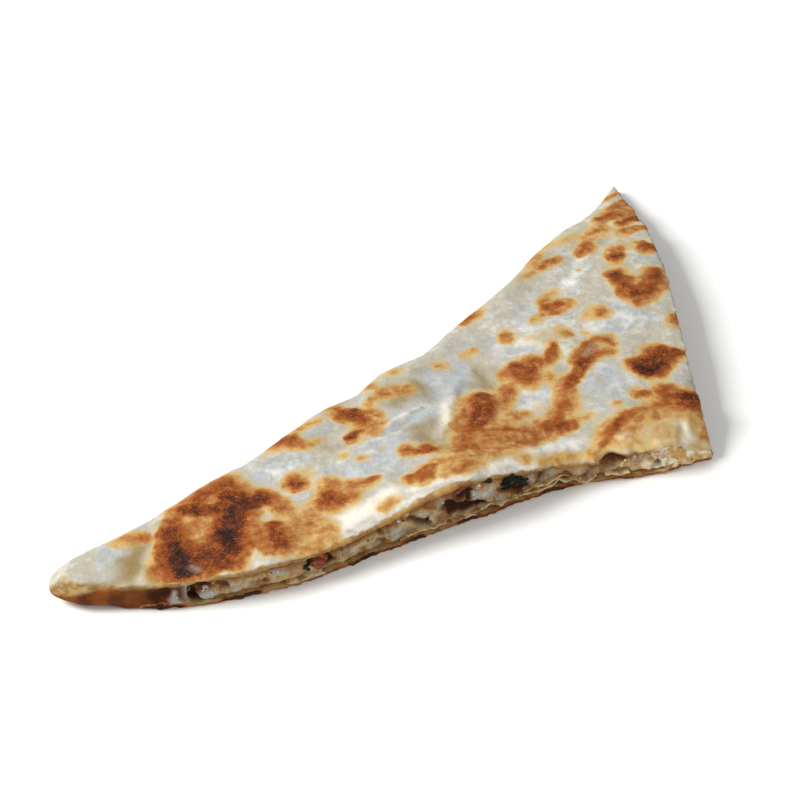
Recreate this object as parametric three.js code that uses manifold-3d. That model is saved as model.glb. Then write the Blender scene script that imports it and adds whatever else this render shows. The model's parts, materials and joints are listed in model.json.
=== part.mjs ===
// A wedge of gozleme: a rolled dough leaf folded over a potato and cheese filling, toasted flat
// and cut with two straight strokes. The fold closes one side, and the two cuts show the layers.
// Millimetres, +Z up. The origin is at the bottom centre of the wedge's box, on the surface that
// it lies on. +X runs along the front cut to the square corner, and +Y from there to the far corner.
import * as THREE from "three";
import { mergeVertices } from "three/addons/utils/BufferGeometryUtils.js";
import Module from "manifold-3d";

// Driving dimensions.
const LEAF = 1.3; // thickness of the rolled dough
const RIM_WIDTH = 11; // the closed border beside the fold, where leaf lies on leaf
const RIM_THICKNESS = 6.4;
const FILLED_THICKNESS = 7.6;
const RIM_TO_FILLED = 14; // length over which the rim swells to the filled thickness
const NOSE = 4.2; // how far in from the fold its rounding reaches
const NOSE_FLAT = 0.6; // height of the narrow band at the very edge of the fold
const SQUARE_CORNER_THICKNESS = 2.6; // the knife pressed the leaves together where the cuts meet
const SQUARE_CORNER_REACH = 12;
const FAR_CORNER_THICKNESS = 3.4;
const FAR_CORNER_REACH = 24;
const SOLID_CORNER = 5.5; // from the square corner to the filling
const SOLID_TIP = 5; // from the tip's round end to the filling, along the front cut
const FILLING_SET_BACK = 0.8; // of the filling behind the cut faces
const FILLING_GAP = 0.3; // all round, between filling and dough
const BLIND_SHARE = 0.35; // height of the hollow at its blind edge, as a share of its full height
const BLIND_TAPER = 8; // length over which the hollow rises to its full height
const BLIND_EDGE_FROM = 0.14; // where the hollow's blind edge leaves the tip, as a share of the fold
const BLIND_EDGE_TO = 0.96; // and where it nears the far corner

// The outline seen from above, as the points that its sides pass through. The knife wandered a
// little along the front, and the fold puckers in where the dough was gathered.
const FRONT_CUT = [
  [-66.5, -56.1],
  [-48, -58.7],
  [-26, -56.6],
  [-10, -51.6],
  [4, -47.2],
  [20, -42.6],
  [30, -39.8],
  [40, -37.9],
  [57, -38.2],
  [69.6, -35.6],
];
const SIDE_CUT = [
  [69.6, -35.6],
  [70.8, -12.5],
  [74.2, 15],
  [75.8, 38],
  [73.8, 70.4],
];
const FOLD = [
  [-72.8, -42.5],
  [-54.6, -33.8],
  [-42, -24.7],
  [-31.4, -19.2],
  [-10, -3.6],
  [-5, -2.2],
  [2, 4.6],
  [8, 7.8],
  [13, 9.6],
  [21, 17.2],
  [38, 32],
  [45, 40.2],
  [55, 50.2],
  [62.4, 54.8],
  [73.8, 70.4],
];
const TIP = [
  [-66.5, -56.1],
  [-74.6, -54.6],
  [-78.6, -50.4],
  [-77.4, -45.6],
  [-72.8, -42.5],
];

// Swells and sags of the upper leaf over the filling: centre, radius and height.
const SWELLS = [
  { x: 12, y: -42, radius: 18, height: 3.9 },
  { x: 38, y: -38, radius: 8, height: -2.3 },
  { x: -8, y: -14, radius: 20, height: 0.9 },
  { x: 46, y: 8, radius: 28, height: 0.8 },
  { x: -44, y: -44, radius: 18, height: 0.5 },
  { x: 28, y: -14, radius: 12, height: -0.8 },
];

// Mesh fineness: columns from the tip to the side cut, and rows from the front cut to the fold.
const COLUMNS = 44;
const ROWS = 16;
const ROW_CROWDING = 1.8; // power that crowds the rows towards the fold
const HOLLOW_OVERRUN = 4; // how far the hollow's tool passes the cut faces
const CUTTER_REACH = 60; // how far the cutting prisms pass the wedge

const wasm = await Module();
wasm.setup();

const UP = new THREE.Vector3(0, 0, 1);
const INSIDE = new THREE.Vector3(20, -12, 0); // a point of the wedge that tells inwards from outwards
const { clamp, lerp, smoothstep } = THREE.MathUtils;

function curveThrough(outline) {
  const points = outline.map(([x, y]) => new THREE.Vector3(x, y, 0));
  const curve = new THREE.CatmullRomCurve3(points, false, "centripetal");
  curve.arcLengthDivisions = 600;
  return curve;
}

const frontCut = curveThrough(FRONT_CUT);
const sideCut = curveThrough(SIDE_CUT);
const fold = curveThrough(FOLD);
const tip = curveThrough(TIP);

const squareCorner = sideCut.getPointAt(0);
const farCorner = sideCut.getPointAt(1);

// The point at a share of a side's length, moved outwards from the wedge by some distance.
function onSide(curve, share, outwards) {
  const point = curve.getPointAt(share);
  const normal = curve.getTangentAt(share).cross(UP);
  const sign = Math.sign(normal.dot(point.clone().sub(INSIDE)));
  return point.addScaledVector(normal, sign * outwards);
}

const sharesBetween = (first, last, count) =>
  Array.from({ length: count + 1 }, (_, i) => lerp(first, last, i / count));

// The closed side of the wedge, which is the round tip and the fold, in short straight steps.
const closedSide = [
  ...sharesBetween(0, 1, 24).map((share) => tip.getPointAt(share)),
  ...sharesBetween(0, 1, 120).slice(1).map((share) => fold.getPointAt(share)),
];

function fromClosedSide(x, y) {
  let nearest = Infinity;
  for (let i = 1; i < closedSide.length; i++) {
    const [a, b] = [closedSide[i - 1], closedSide[i]];
    const [dx, dy] = [b.x - a.x, b.y - a.y];
    const along = clamp(((x - a.x) * dx + (y - a.y) * dy) / (dx * dx + dy * dy), 0, 1);
    nearest = Math.min(nearest, Math.hypot(x - a.x - along * dx, y - a.y - along * dy));
  }
  return nearest;
}

// Thickness of the wedge before the fold is rounded off.
function thickness(x, y) {
  const distance = (point) => Math.hypot(x - point.x, y - point.y);
  const filled = smoothstep(fromClosedSide(x, y), RIM_WIDTH, RIM_WIDTH + RIM_TO_FILLED);
  let height = lerp(RIM_THICKNESS, FILLED_THICKNESS, filled);
  for (const swell of SWELLS) height += swell.height * Math.exp(-((distance(swell) / swell.radius) ** 2));
  const awayFromSquare = smoothstep(distance(squareCorner), 0, SQUARE_CORNER_REACH);
  const awayFromFar = smoothstep(distance(farCorner), 0, FAR_CORNER_REACH);
  height = lerp(SQUARE_CORNER_THICKNESS, height, awayFromSquare);
  return lerp(FAR_CORNER_THICKNESS, height, awayFromFar);
}

// Half of the height that the nose's quarter ellipse takes off, above as below.
function noseLoss(x, y) {
  const inwards = clamp(fromClosedSide(x, y) / NOSE, 0, 1);
  return 0.5 * (thickness(x, y) - NOSE_FLAT) * (1 - Math.sqrt(1 - (1 - inwards) ** 2));
}

// Half the height of the hollow, which narrows towards its blind edge beside the rim.
function halfRoom(x, y) {
  const open = smoothstep(fromClosedSide(x, y), RIM_WIDTH, RIM_WIDTH + BLIND_TAPER);
  return 0.5 * (thickness(x, y) - 2 * LEAF) * lerp(BLIND_SHARE, 1, open);
}

// The outline filled in as a Coons patch: u runs from the tip to the side cut, and v from the
// front cut to the fold.
function onPatch(u, v) {
  const corners = new THREE.Vector3()
    .addScaledVector(frontCut.getPointAt(0), (1 - u) * (1 - v))
    .addScaledVector(squareCorner, u * (1 - v))
    .addScaledVector(fold.getPointAt(0), (1 - u) * v)
    .addScaledVector(farCorner, u * v);
  return new THREE.Vector3()
    .addScaledVector(frontCut.getPointAt(u), 1 - v)
    .addScaledVector(fold.getPointAt(u), v)
    .addScaledVector(tip.getPointAt(v), 1 - u)
    .addScaledVector(sideCut.getPointAt(v), u)
    .sub(corners);
}

// A closed geometry as a solid that can be cut.
function solidOf(geometry) {
  geometry.deleteAttribute("normal");
  geometry.deleteAttribute("uv");
  const merged = mergeVertices(geometry, 1e-5);
  const vertProperties = new Float32Array(merged.attributes.position.array);
  const triVerts = new Uint32Array(merged.index.array);
  return new wasm.Manifold(new wasm.Mesh({ numProp: 3, vertProperties, triVerts }));
}

// A box bent into a slab over the wedge's outline, with its lid and floor at the two heights. It can
// be given one more row of cells past the front cut and one more column past the side cut.
function slab(upper, lower, overrun = 0) {
  const extra = overrun > 0 ? 1 : 0;
  const [columns, rows] = [COLUMNS + extra, ROWS + extra];
  const box = new THREE.BoxGeometry(columns, rows, 1, columns, rows, 1);
  box.translate(0.5 * columns, 0.5 * rows - extra, 0.5);
  const at = box.attributes.position;
  for (let i = 0; i < at.count; i++) {
    const [column, row] = [at.getX(i), at.getY(i)];
    const v = 1 - (1 - Math.max(row, 0) / ROWS) ** ROW_CROWDING;
    const { x, y } = onPatch(Math.min(column / COLUMNS, 1), v);
    const [pastSide, pastFront] = [column > COLUMNS ? overrun : 0, row < 0 ? overrun : 0];
    at.setXYZ(i, x + pastSide, y - pastFront, at.getZ(i) > 0.5 ? upper(x, y) : lower(x, y));
  }
  return solidOf(box);
}

// An upright prism over an outline, to cut a slab with.
function prism(outline) {
  const shape = new THREE.Shape(outline.map(({ x, y }) => new THREE.Vector2(x, y)));
  return solidOf(new THREE.ExtrudeGeometry(shape, { depth: 3 * FILLED_THICKNESS, bevelEnabled: false }));
}

// All that lies on the filling's side of the rim, short of the square corner and the tip.
function besideRim(inset) {
  const shares = sharesBetween(BLIND_EDGE_FROM, BLIND_EDGE_TO, 40);
  const blindEdge = shares.map((share) => onSide(fold, share, -RIM_WIDTH - inset));
  const [last, beforeLast] = [blindEdge.at(-1), blindEdge.at(-2)];
  const diagonal = Math.SQRT2 * (SOLID_CORNER + inset);
  return prism([
    onSide(frontCut, (SOLID_TIP + inset) / frontCut.getLength(), CUTTER_REACH),
    ...blindEdge,
    last.clone().sub(beforeLast).setLength(CUTTER_REACH).add(last),
    squareCorner.clone().add(new THREE.Vector3(CUTTER_REACH, CUTTER_REACH + diagonal, 0)),
    squareCorner.clone().add(new THREE.Vector3(-CUTTER_REACH, diagonal - CUTTER_REACH, 0)),
  ]);
}

// All that lies behind the two cut faces. The filling stops short of its corner, so that is left off.
function behindCuts(setBack) {
  const front = sharesBetween(0, 0.97, 40).map((share) => onSide(frontCut, share, -setBack));
  const side = sharesBetween(0.03, 1, 30).map((share) => onSide(sideCut, share, -setBack));
  const right = side.at(-1).x;
  const left = front[0].x - CUTTER_REACH;
  const back = side.at(-1).y + CUTTER_REACH;
  return prism([
    ...front,
    ...side,
    new THREE.Vector3(right, back, 0),
    new THREE.Vector3(left, back, 0),
    new THREE.Vector3(left, front[0].y, 0),
  ]);
}

function meshOf(solid, name, material) {
  const { vertProperties, triVerts } = solid.getMesh();
  const geometry = new THREE.BufferGeometry();
  geometry.setAttribute("position", new THREE.BufferAttribute(vertProperties, 3));
  geometry.setIndex(new THREE.BufferAttribute(triVerts, 1));
  geometry.computeVertexNormals();
  const mesh = new THREE.Mesh(geometry, material);
  mesh.name = name;
  return mesh;
}

// The whole wedge without its hollow.
function wedgeSolid() {
  return slab((x, y) => thickness(x, y) - noseLoss(x, y), noseLoss);
}

// The space between the leaves, past both cuts, less a gap all round.
function between(gap) {
  const upper = (x, y) => 0.5 * thickness(x, y) + halfRoom(x, y) - gap;
  const lower = (x, y) => 0.5 * thickness(x, y) - halfRoom(x, y) + gap;
  return slab(upper, lower, HOLLOW_OVERRUN).intersect(besideRim(gap));
}

const doughFinish = new THREE.MeshStandardMaterial({ color: 0xdccba6, roughness: 0.62, metalness: 0 });
const fillingFinish = new THREE.MeshStandardMaterial({ color: 0xbfa97c, roughness: 0.75, metalness: 0 });

const whole = wedgeSolid();
const { min, max } = whole.boundingBox();
const wedge = new THREE.Group();
wedge.name = "gozleme_wedge";
wedge.add(meshOf(whole.subtract(between(0)), "dough_fold", doughFinish));
wedge.add(meshOf(between(FILLING_GAP).intersect(behindCuts(FILLING_SET_BACK)), "filling", fillingFinish));
wedge.position.set(-0.5 * (min[0] + max[0]), -0.5 * (min[1] + max[1]), -min[2]);

export default wedge;
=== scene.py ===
"""A cut wedge of gozleme: its griddled dough, crumbly filling, curds, herbs and pepper.

Names that end in MM, and every list of places below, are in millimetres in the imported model's own
frame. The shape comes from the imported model. The relief, the toasting and the crumbs are made here.
"""
import json
import math
import random

import bpy
import numpy as np
from mathutils import Euler, Matrix, Vector, noise
from mathutils.bvhtree import BVHTree

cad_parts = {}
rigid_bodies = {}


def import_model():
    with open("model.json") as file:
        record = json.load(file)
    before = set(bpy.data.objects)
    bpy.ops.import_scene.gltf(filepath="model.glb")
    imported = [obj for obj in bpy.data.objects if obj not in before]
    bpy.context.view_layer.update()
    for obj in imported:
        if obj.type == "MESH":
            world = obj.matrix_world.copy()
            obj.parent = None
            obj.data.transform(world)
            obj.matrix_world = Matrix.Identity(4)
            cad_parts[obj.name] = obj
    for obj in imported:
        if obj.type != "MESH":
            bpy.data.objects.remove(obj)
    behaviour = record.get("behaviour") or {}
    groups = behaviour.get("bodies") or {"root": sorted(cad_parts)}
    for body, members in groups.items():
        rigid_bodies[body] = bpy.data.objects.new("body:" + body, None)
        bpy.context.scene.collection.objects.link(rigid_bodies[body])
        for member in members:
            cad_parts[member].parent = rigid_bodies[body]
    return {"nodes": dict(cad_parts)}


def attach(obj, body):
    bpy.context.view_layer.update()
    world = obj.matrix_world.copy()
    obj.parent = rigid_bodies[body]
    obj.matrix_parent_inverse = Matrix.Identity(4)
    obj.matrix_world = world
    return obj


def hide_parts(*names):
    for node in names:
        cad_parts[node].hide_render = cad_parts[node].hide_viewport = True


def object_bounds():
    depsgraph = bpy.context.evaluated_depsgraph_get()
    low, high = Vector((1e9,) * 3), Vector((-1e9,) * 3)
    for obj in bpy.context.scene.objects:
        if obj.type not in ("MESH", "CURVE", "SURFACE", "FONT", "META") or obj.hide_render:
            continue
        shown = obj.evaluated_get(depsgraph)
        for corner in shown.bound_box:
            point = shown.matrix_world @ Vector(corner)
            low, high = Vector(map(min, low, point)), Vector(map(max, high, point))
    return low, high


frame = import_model()
cad_low, cad_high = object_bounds()

MM = 0.001
DOUGH_NODE = "dough_fold"
FILLING_NODE = "filling"

# The camera stands in front, a little to the left, and looks down at the middle of the wedge.
# Its angles are in degrees.
CAMERA_AIM_MM = (6.7, -12.2, 5.7)
CAMERA_AZIMUTH = -9.9
CAMERA_ELEVATION = 38.0
CAMERA_ROLL = -2.0
CAMERA_DISTANCE_MM = 721.0
CAMERA_LENS_MM = 145.0
CAMERA_SENSOR_MM = 36.0

VOXEL_MM = 0.6
MARK_EDGE_MM = 1.6
MARK_SPREAD_MM = 0.5
MARK_HALO_MM = 2.4
MARK_HALO_SHARE = 0.25
UNDER_MARK_COUNT = 150
LAYER_DEPTH_MM = 4.5
LAYER_THICKNESS_MM = 0.32
CRUMB_COUNT = 250
CORNER_CRUMB_COUNT = 40
CURD_COUNT = 34
HERB_COUNT = 16
PEPPER_COUNT = 10

# The wedge's height where it is pressed thin and where it is filled.
PRESSED_TO_FILLED_MM = (2.4, 6.0)

# Along the front cut, the x where one thing begins to turn into another and the x where it has.
OPEN_TO_SHUT_TIP = (-47.0, -51.0)
SHUT_TIP_TO_LINING = (-53.0, -51.0)
FILLING_TO_FIRST_HOLE = (-44.5, -46.0)
AMBER_TO_SEARED_TIP = (-65.0, -53.0)
TIP_TO_LIP = (-48.0, -40.0)
CORNER_TO_LIP = (46.0, 40.0)
CORNER_TO_LIGHT_SKIN = (50.0, 44.0)
FILLING_TO_BREAD = (50.0, 57.0)
LEAF_TO_CRUMBLY_CORNER = (55.0, 61.0)

# Which way the shut tip's front face looks, and the height of its brim along x.
TIP_FACES = (-0.30, -0.95, 0.0)
TIP_BRIM = ((-77.0, -74.0, -72.0, -68.0, -62.0, -48.0), (3.4, 3.9, 4.4, 5.3, 5.7, 6.0))

# Where things are strewn on each cut's face: from and to along it, and from and to up it.
FRONT_FACE = ((-49.0, 63.0), (1.2, 10.2))
SIDE_FACE = ((-36.0, 47.0), (1.2, 6.8))
CORNER_FACE = (51.0, 66.0)

# Marks and places are strokes: how strong, then the points that the stroke goes through in plan,
# each with the stroke's half width there. These are the toasted marks on the upper skin.
UPPER_MARKS = [
    # the scorched patch beside the tip: brown all over first, then the darker streaks in it
    (0.44, [(-47.6, -41, 1.8), (-43, -37.5, 2.8), (-37, -34, 3.2)]),
    (0.50, [(-49, -45, 2.2), (-49.8, -52, 4.2), (-49.2, -59, 5.6), (-44, -60, 3.6)]),
    (0.30, [(-43.6, -45, 3.6), (-44, -50, 3.6)]),
    (0.44, [(-44, -53.6, 3.2), (-43, -57.4, 3.4)]),
    (0.60, [(-47, -57.4, 2.4), (-42.8, -57, 2.0), (-40.4, -57.4, 1.2)]),
    (0.26, [(-54.2, -55, 1.0), (-54.8, -58, 1.4), (-54.6, -61, 1.6)]),
    (0.48, [(-35, -37, 3.0), (-35, -44, 4.4), (-37, -52, 5.2), (-39, -59, 3.8)]),
    (0.52, [(-46, -41, 1.4), (-42.5, -38, 1.6), (-38, -34.5, 1.4), (-35.5, -33, 1.0)]),
    (0.66, [(-46, -41.3, 1.2), (-44, -41.6, 1.4)]),
    (0.68, [(-36.5, -38.5, 1.6), (-34, -40, 2.4), (-31.8, -41.8, 2.4), (-29.2, -40, 1.4)]),
    (0.70, [(-34.5, -43.5, 2.8), (-36.8, -47, 3.0), (-38.2, -50.5, 3.2), (-37.8, -55.5, 2.6)]),
    (0.82, [(-36.4, -42.5, 1.2), (-37, -46, 1.6), (-38.2, -51, 2.1), (-38.4, -55, 1.6)]),
    (0.66, [(-43, -42.4, 1.2), (-39, -42, 1.8), (-36, -41, 1.6)]),
    (0.58, [(-44, -57, 2.0), (-41, -53.6, 1.8)]),
    (0.95, [(-38.8, -50.5, 0.6), (-38.4, -52.6, 0.9), (-37.6, -53.6, 0.6)]),
    (0.74, [(-32.8, -41.5, 1.0), (-33, -44, 0.9)]),
    (0.62, [(-40, -49, 1.6), (-40.6, -47, 1.0)]),
    (0.60, [(-49.5, -47.5, 1.8), (-49.5, -51.5, 2.3), (-50.4, -56, 2.6), (-49, -60.5, 2.8)]),
    (0.94, [(-49.9, -52, 1.2), (-49.4, -56, 1.7), (-49, -60.5, 1.9), (-48, -62, 1.0)]),
    (1.00, [(-48.2, -56.6, 0.6), (-48.4, -57.8, 0.6)]),
    (0.62, [(-48, -60, 2.4), (-44, -58.8, 2.4), (-39.5, -57.5, 2.2)]),
    (0.62, [(-46, -61.5, 1.8), (-41, -60.8, 1.8)]),
    (0.58, [(-29.6, -40, 1.6), (-28.6, -42, 1.3)]),
    (0.44, [(-27.6, -41, 1.8), (-26.4, -43.4, 2.2), (-25.4, -46.4, 1.6)]),
    (0.60, [(-28.2, -52, 1.8), (-28, -54.5, 2.2), (-27.2, -57.6, 2.0)]),
    (0.28, [(-27, -60, 1.8), (-21, -59.6, 2.4), (-17, -58, 1.4)]),
    (0.40, [(-30.6, -54, 2.0), (-30, -58, 2.4)]),
    (0.30, [(-25, -54, 3.2), (-20.5, -53.5, 3.6), (-17.8, -55, 2.6)]),
    (0.30, [(-23.5, -50.5, 1.6), (-20, -49, 2.2), (-17.5, -47.6, 1.6)]),
    (0.30, [(-61.6, -47.8, 0.8), (-58.4, -46.8, 1.6), (-56.0, -47.4, 1.6)]),
    (0.38, [(-58.2, -47.6, 0.9), (-55.8, -48, 1.0)]),
    (0.22, [(-55.4, -58.5, 0.8), (-53.6, -61, 1.4)]),
    (0.30, [(-51, -38.6, 0.8), (-48.6, -37.6, 0.8)]),
    # the first row from the fold
    (0.54, [(-24, -21.5, 1.4), (-22.4, -22, 2.2), (-20.4, -22.2, 2.0)]),
    (0.50, [(-22.4, -18.4, 0.9), (-21, -19, 1.0)]),
    (0.40, [(-20, -24.2, 1.4), (-18.6, -24.4, 1.4), (-16.6, -25.4, 0.9)]),
    (0.30, [(-18.4, -19.6, 1.0), (-14, -17.2, 1.0)]),
    (0.24, [(-14.1, -24.5, 0.7)]),
    (0.60, [(-7.6, -14.2, 0.9), (-6, -16, 1.3), (-4.2, -17, 1.9), (-3, -19.6, 1.4), (-2.6, -21, 0.8)]),
    (0.42, [(-8.4, -16.6, 0.8), (-5, -18.4, 1.2)]),
    (0.30, [(-0.6, -14.2, 0.8), (0.6, -12.8, 0.6)]),
    (0.34, [(-1, -18, 1.8), (-0.3, -21.4, 1.7), (-1.8, -24.4, 1.5)]),
    (0.60, [(-4.8, -22.6, 0.6), (-6, -24.6, 1.1), (-7, -25, 0.9)]),
    (0.32, [(-6.6, -26, 1.4)]),
    (0.36, [(0.6, -6.4, 0.7), (0.9, -7.6, 0.9)]),
    (0.38, [(3.2, -11.4, 1.5), (6, -10.8, 1.6), (8.4, -10.6, 1.2)]),
    (0.24, [(6.6, -3.2, 1.0), (8, -2.6, 0.8)]),
    (0.30, [(17.4, -3.5, 0.8), (18.4, -4, 0.8)]),
    (0.42, [(26.6, 12, 0.9), (28.4, 13.4, 0.8), (30, 15, 0.6)]),
    (0.28, [(30.4, 16.4, 0.6), (31.4, 19.6, 0.7)]),
    (0.30, [(46.8, 31.4, 1.4), (47.8, 34, 1.8), (49.6, 36.8, 1.2), (52, 39.4, 0.8)]),
    (0.50, [(48.4, 28.6, 0.5), (50.2, 29.8, 0.7), (52.6, 30.8, 0.7)]),
    (0.28, [(44.6, 25.8, 0.8), (47.2, 27.8, 0.8)]),
    (0.56, [(58.8, 32.2, 0.7), (60.4, 34.4, 1.1), (61.4, 35.6, 0.8)]),
    (0.24, [(62, 37.4, 1.6), (64, 40, 1.8)]),
    (0.46, [(63, 39.8, 0.7), (66.6, 41.4, 0.8)]),
    (0.16, [(54, 38.2, 1.6), (60, 39.4, 1.6)]),
    # between the fold and the front cut
    (0.76, [(-21.8, -37.4, 1.1), (-21, -38.8, 1.0)]),
    (0.22, [(-19, -34.6, 0.9), (-18.2, -35.4, 0.7)]),
    (0.56, [(-14.4, -40.4, 1.1), (-14.2, -42.6, 1.6), (-15.6, -45, 2.0), (-13.6, -46.4, 1.8)]),
    (0.46, [(-17, -46.4, 1.4), (-11, -46, 1.2)]),
    (0.42, [(-11.6, -43.4, 1.7), (-8, -43, 1.4), (-4.4, -42.2, 0.8)]),
    (0.34, [(-14.6, -48, 1.8)]),
    (0.26, [(-4, -51.6, 1.2), (-2.4, -50.8, 1.2)]),
    (0.22, [(-9.8, -31.2, 0.7)]),
    (0.22, [(-6.2, -34, 0.8)]),
    (0.60, [(4.2, -34.8, 0.9), (6, -36, 1.1), (8.2, -35.9, 1.5), (9.4, -36.4, 1.0)]),
    (0.50, [(2.4, -45.6, 0.9), (4.4, -46, 1.3), (6, -45.2, 1.6), (7.4, -43.6, 1.2)]),
    (0.46, [(12.6, -46.2, 0.8), (14.8, -45.4, 1.2), (16.6, -44.8, 1.0)]),
    (0.28, [(9, -41.4, 1.2), (12, -43, 1.4), (10.6, -46.8, 1.3)]),
    (0.36, [(21, -20, 2.2), (19.6, -26, 3.0), (17.8, -32, 3.2), (15.4, -38, 2.2)]),
    (0.60, [(24.2, -18.4, 2.0), (23.4, -21.4, 2.7), (22.8, -24.4, 2.5), (21.2, -27.6, 2.0), (20, -30, 1.2)]),
    (0.50, [(18.4, -30, 1.2), (17.6, -34, 1.3), (16.6, -36.8, 1.5), (14.6, -39, 1.0)]),
    (0.44, [(18.8, -22.8, 0.7), (19.2, -26, 0.8)]),
    (0.38, [(21.6, -34.4, 3.6), (26.6, -33.8, 2.8), (33, -32, 1.8)]),
    (0.24, [(24, -30, 3.0), (29, -30, 2.8)]),
    (0.36, [(12, -41.4, 0.8), (18, -41.4, 1.6), (24, -39.6, 1.6), (30, -37, 1.5), (35, -34.6, 1.4)]),
    (0.44, [(22, -40.6, 0.6), (28, -37.8, 0.8), (32.6, -35.2, 0.8)]),
    (0.46, [(16.6, -38, 1.2), (20, -38.6, 1.0)]),
    (0.42, [(26.4, -31.4, 1.0)]),
    (0.40, [(29.4, -32, 0.8), (31.6, -32.6, 0.8)]),
    (0.46, [(30.2, -26.1, 0.6), (31.8, -25.6, 0.7)]),
    (0.20, [(36, -23.6, 0.7)]),
    (0.60, [(35.6, -31, 1.6), (38.6, -32, 1.6), (41.2, -31.2, 0.9)]),
    (0.48, [(38, -29.6, 1.9), (40.2, -26.6, 1.5), (42, -23, 1.4), (43.4, -19, 1.3), (45, -16.4, 1.4)]),
    (0.56, [(44, -17.4, 1.0), (46.4, -15, 1.0), (48.2, -12.6, 1.4)]),
    (0.64, [(48.4, -11.6, 1.5), (50.2, -9.6, 1.6)]),
    (0.54, [(50.6, -8, 1.6), (51.8, -5.2, 1.1), (54, -3.5, 0.9), (56, -3.6, 0.7), (56.8, -5.6, 0.8)]),
    (0.44, [(53.4, -7.8, 1.4), (55.8, -8.4, 1.1)]),
    (0.30, [(43.4, -25.8, 1.0), (44.2, -23.6, 0.8)]),
    (0.26, [(42.6, -29.6, 0.7), (45.6, -29.3, 0.5)]),
    (0.28, [(53.5, -27.6, 0.8)]),
    (0.54, [(34, -9, 1.8), (37.6, -9.6, 2.5), (41.2, -8.8, 1.0), (42.8, -6.6, 0.6), (43.8, -3.4, 0.5)]),
    (0.48, [(31.6, -10.6, 1.4), (34.4, -12.4, 2.6), (35.6, -14.2, 1.8)]),
    (0.62, [(37.6, -9.8, 1.1), (36.2, -11.6, 0.9)]),
    (0.40, [(38, -13.4, 1.4), (40, -14, 1.1)]),
    (0.46, [(31, -15.4, 1.0), (30.2, -17.6, 1.3), (29.2, -20.4, 1.1)]),
    (0.26, [(28, -16.6, 1.4), (27.4, -21, 1.4), (28.4, -25, 1.2)]),
    (0.44, [(34.4, 3.6, 1.0), (34.8, 2, 0.8)]),
    (0.30, [(46.8, 1.8, 1.0), (48, -0.4, 0.8)]),
    (0.16, [(39.6, 0.4, 0.6), (42.4, 1.4, 0.6)]),
    (0.20, [(52.4, -0.2, 0.8)]),
    (0.26, [(24.4, -0.6, 0.9), (26.6, 0.4, 0.8)]),
    (0.34, [(28.0, -43.0, 0.9)]),
    (0.28, [(32.4, -43.6, 0.6), (36, -42.6, 0.9), (39, -42.2, 0.9)]),
    (0.20, [(40.6, -41.8, 0.9), (42.6, -42.6, 0.8)]),
    # beside the side cut
    (0.54, [(46, 14, 1.1), (46.4, 12, 1.6), (47.2, 10.6, 1.4)]),
    (0.64, [(49, 12.3, 0.9), (50.4, 12.2, 0.8)]),
    (0.32, [(44.4, 9.6, 0.9), (42, 7.8, 0.7)]),
    (0.24, [(47, 16.4, 1.0), (49, 17.8, 0.8)]),
    (0.26, [(54.4, 6.4, 0.8), (56.4, 7.8, 0.7)]),
    (0.70, [(57.5, 6.5, 0.25), (57.3, 5.9, 0.2)]),
    (0.72, [(64.4, 20, 1.5), (64.8, 17.6, 1.8), (65, 15.2, 1.3)]),
    (0.54, [(64.8, 13, 1.9), (66.8, 11.6, 2.2), (69.6, 12.2, 2.6), (71.8, 14.6, 2.8), (73.4, 18.6, 1.9)]),
    (0.62, [(73.4, 19.6, 1.0), (73, 17.6, 0.8)]),
    (0.62, [(66.2, 11, 1.1), (68.2, 10.6, 0.9)]),
    (0.46, [(67.6, 8.6, 1.2), (66.8, 7, 0.7)]),
    (0.60, [(67.2, 30, 1.1), (66.6, 28.4, 1.5), (66, 26.6, 0.8)]),
    (0.62, [(73.8, 31.3, 1.3), (74.8, 30, 1.5)]),
    (0.44, [(73.6, 1.6, 0.9), (73.2, -1, 0.7)]),
    (0.62, [(60, -14.6, 1.8), (62, -15.6, 3.2), (65, -14.4, 3.8), (67.6, -12.4, 2.8), (70.4, -11.8, 1.5)]),
    (0.50, [(64, -10.6, 1.0), (67, -10, 0.9), (72.6, -12, 0.6)]),
    (0.86, [(60.4, -16.4, 1.2), (62.2, -17.6, 1.6), (64.6, -18.2, 1.0)]),
    (0.72, [(61.2, -14.4, 1.0), (65.8, -12.6, 0.8)]),
    (0.72, [(64.4, -17, 1.3), (66.6, -15.4, 1.0)]),
    (0.48, [(58.2, -24.8, 1.1), (60, -25.2, 0.9)]),
    (0.48, [(63.4, -24.4, 1.3), (65.6, -25.4, 1.6)]),
    (0.58, [(64.6, -27.2, 1.8), (67.6, -28, 2.8), (70.6, -29, 2.6)]),
    (0.80, [(68.4, -27.4, 1.2), (71.4, -28.8, 2.0)]),
    (0.44, [(64, -29.4, 1.4), (69, -30.2, 1.2)]),
    (0.50, [(61.4, -29.2, 1.0), (57.4, -30.6, 1.1), (53.6, -32.4, 1.1), (51, -34, 1.3), (48.8, -36, 1.3)]),
    (0.44, [(48.4, -37, 1.3), (48, -39.8, 0.9)]),
    (0.30, [(60, -31.8, 1.6), (62.6, -33.4, 1.6), (56, -33.4, 1.4), (51.4, -36.6, 1.6)]),
    (0.30, [(46.4, -40.4, 1.8), (44.4, -42.2, 1.8)]),
    (0.15, [(48, -41, 2.0), (54, -38.6, 3.4), (61, -37.4, 4.6), (67, -34.6, 3.6), (71, -35, 2.0)]),
    (0.24, [(50, -40.4, 1.2), (52.4, -42, 0.8), (55, -41.4, 0.8)]),
    (0.17, [(58.6, -41, 0.8), (61, -40.4, 1.0)]),
    (0.20, [(60, -37.4, 0.8), (61.6, -36.4, 0.9)]),
    (0.17, [(49, -42.4, 1.4), (55, -43, 1.8), (61, -42.8, 1.8)]),
    (0.48, [(65.6, -29.6, 1.8), (71, -31.4, 1.6)]),
    (0.22, [(65, -33.6, 1.0), (67.6, -34.6, 1.2), (70.4, -36.4, 0.8)]),
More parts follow.
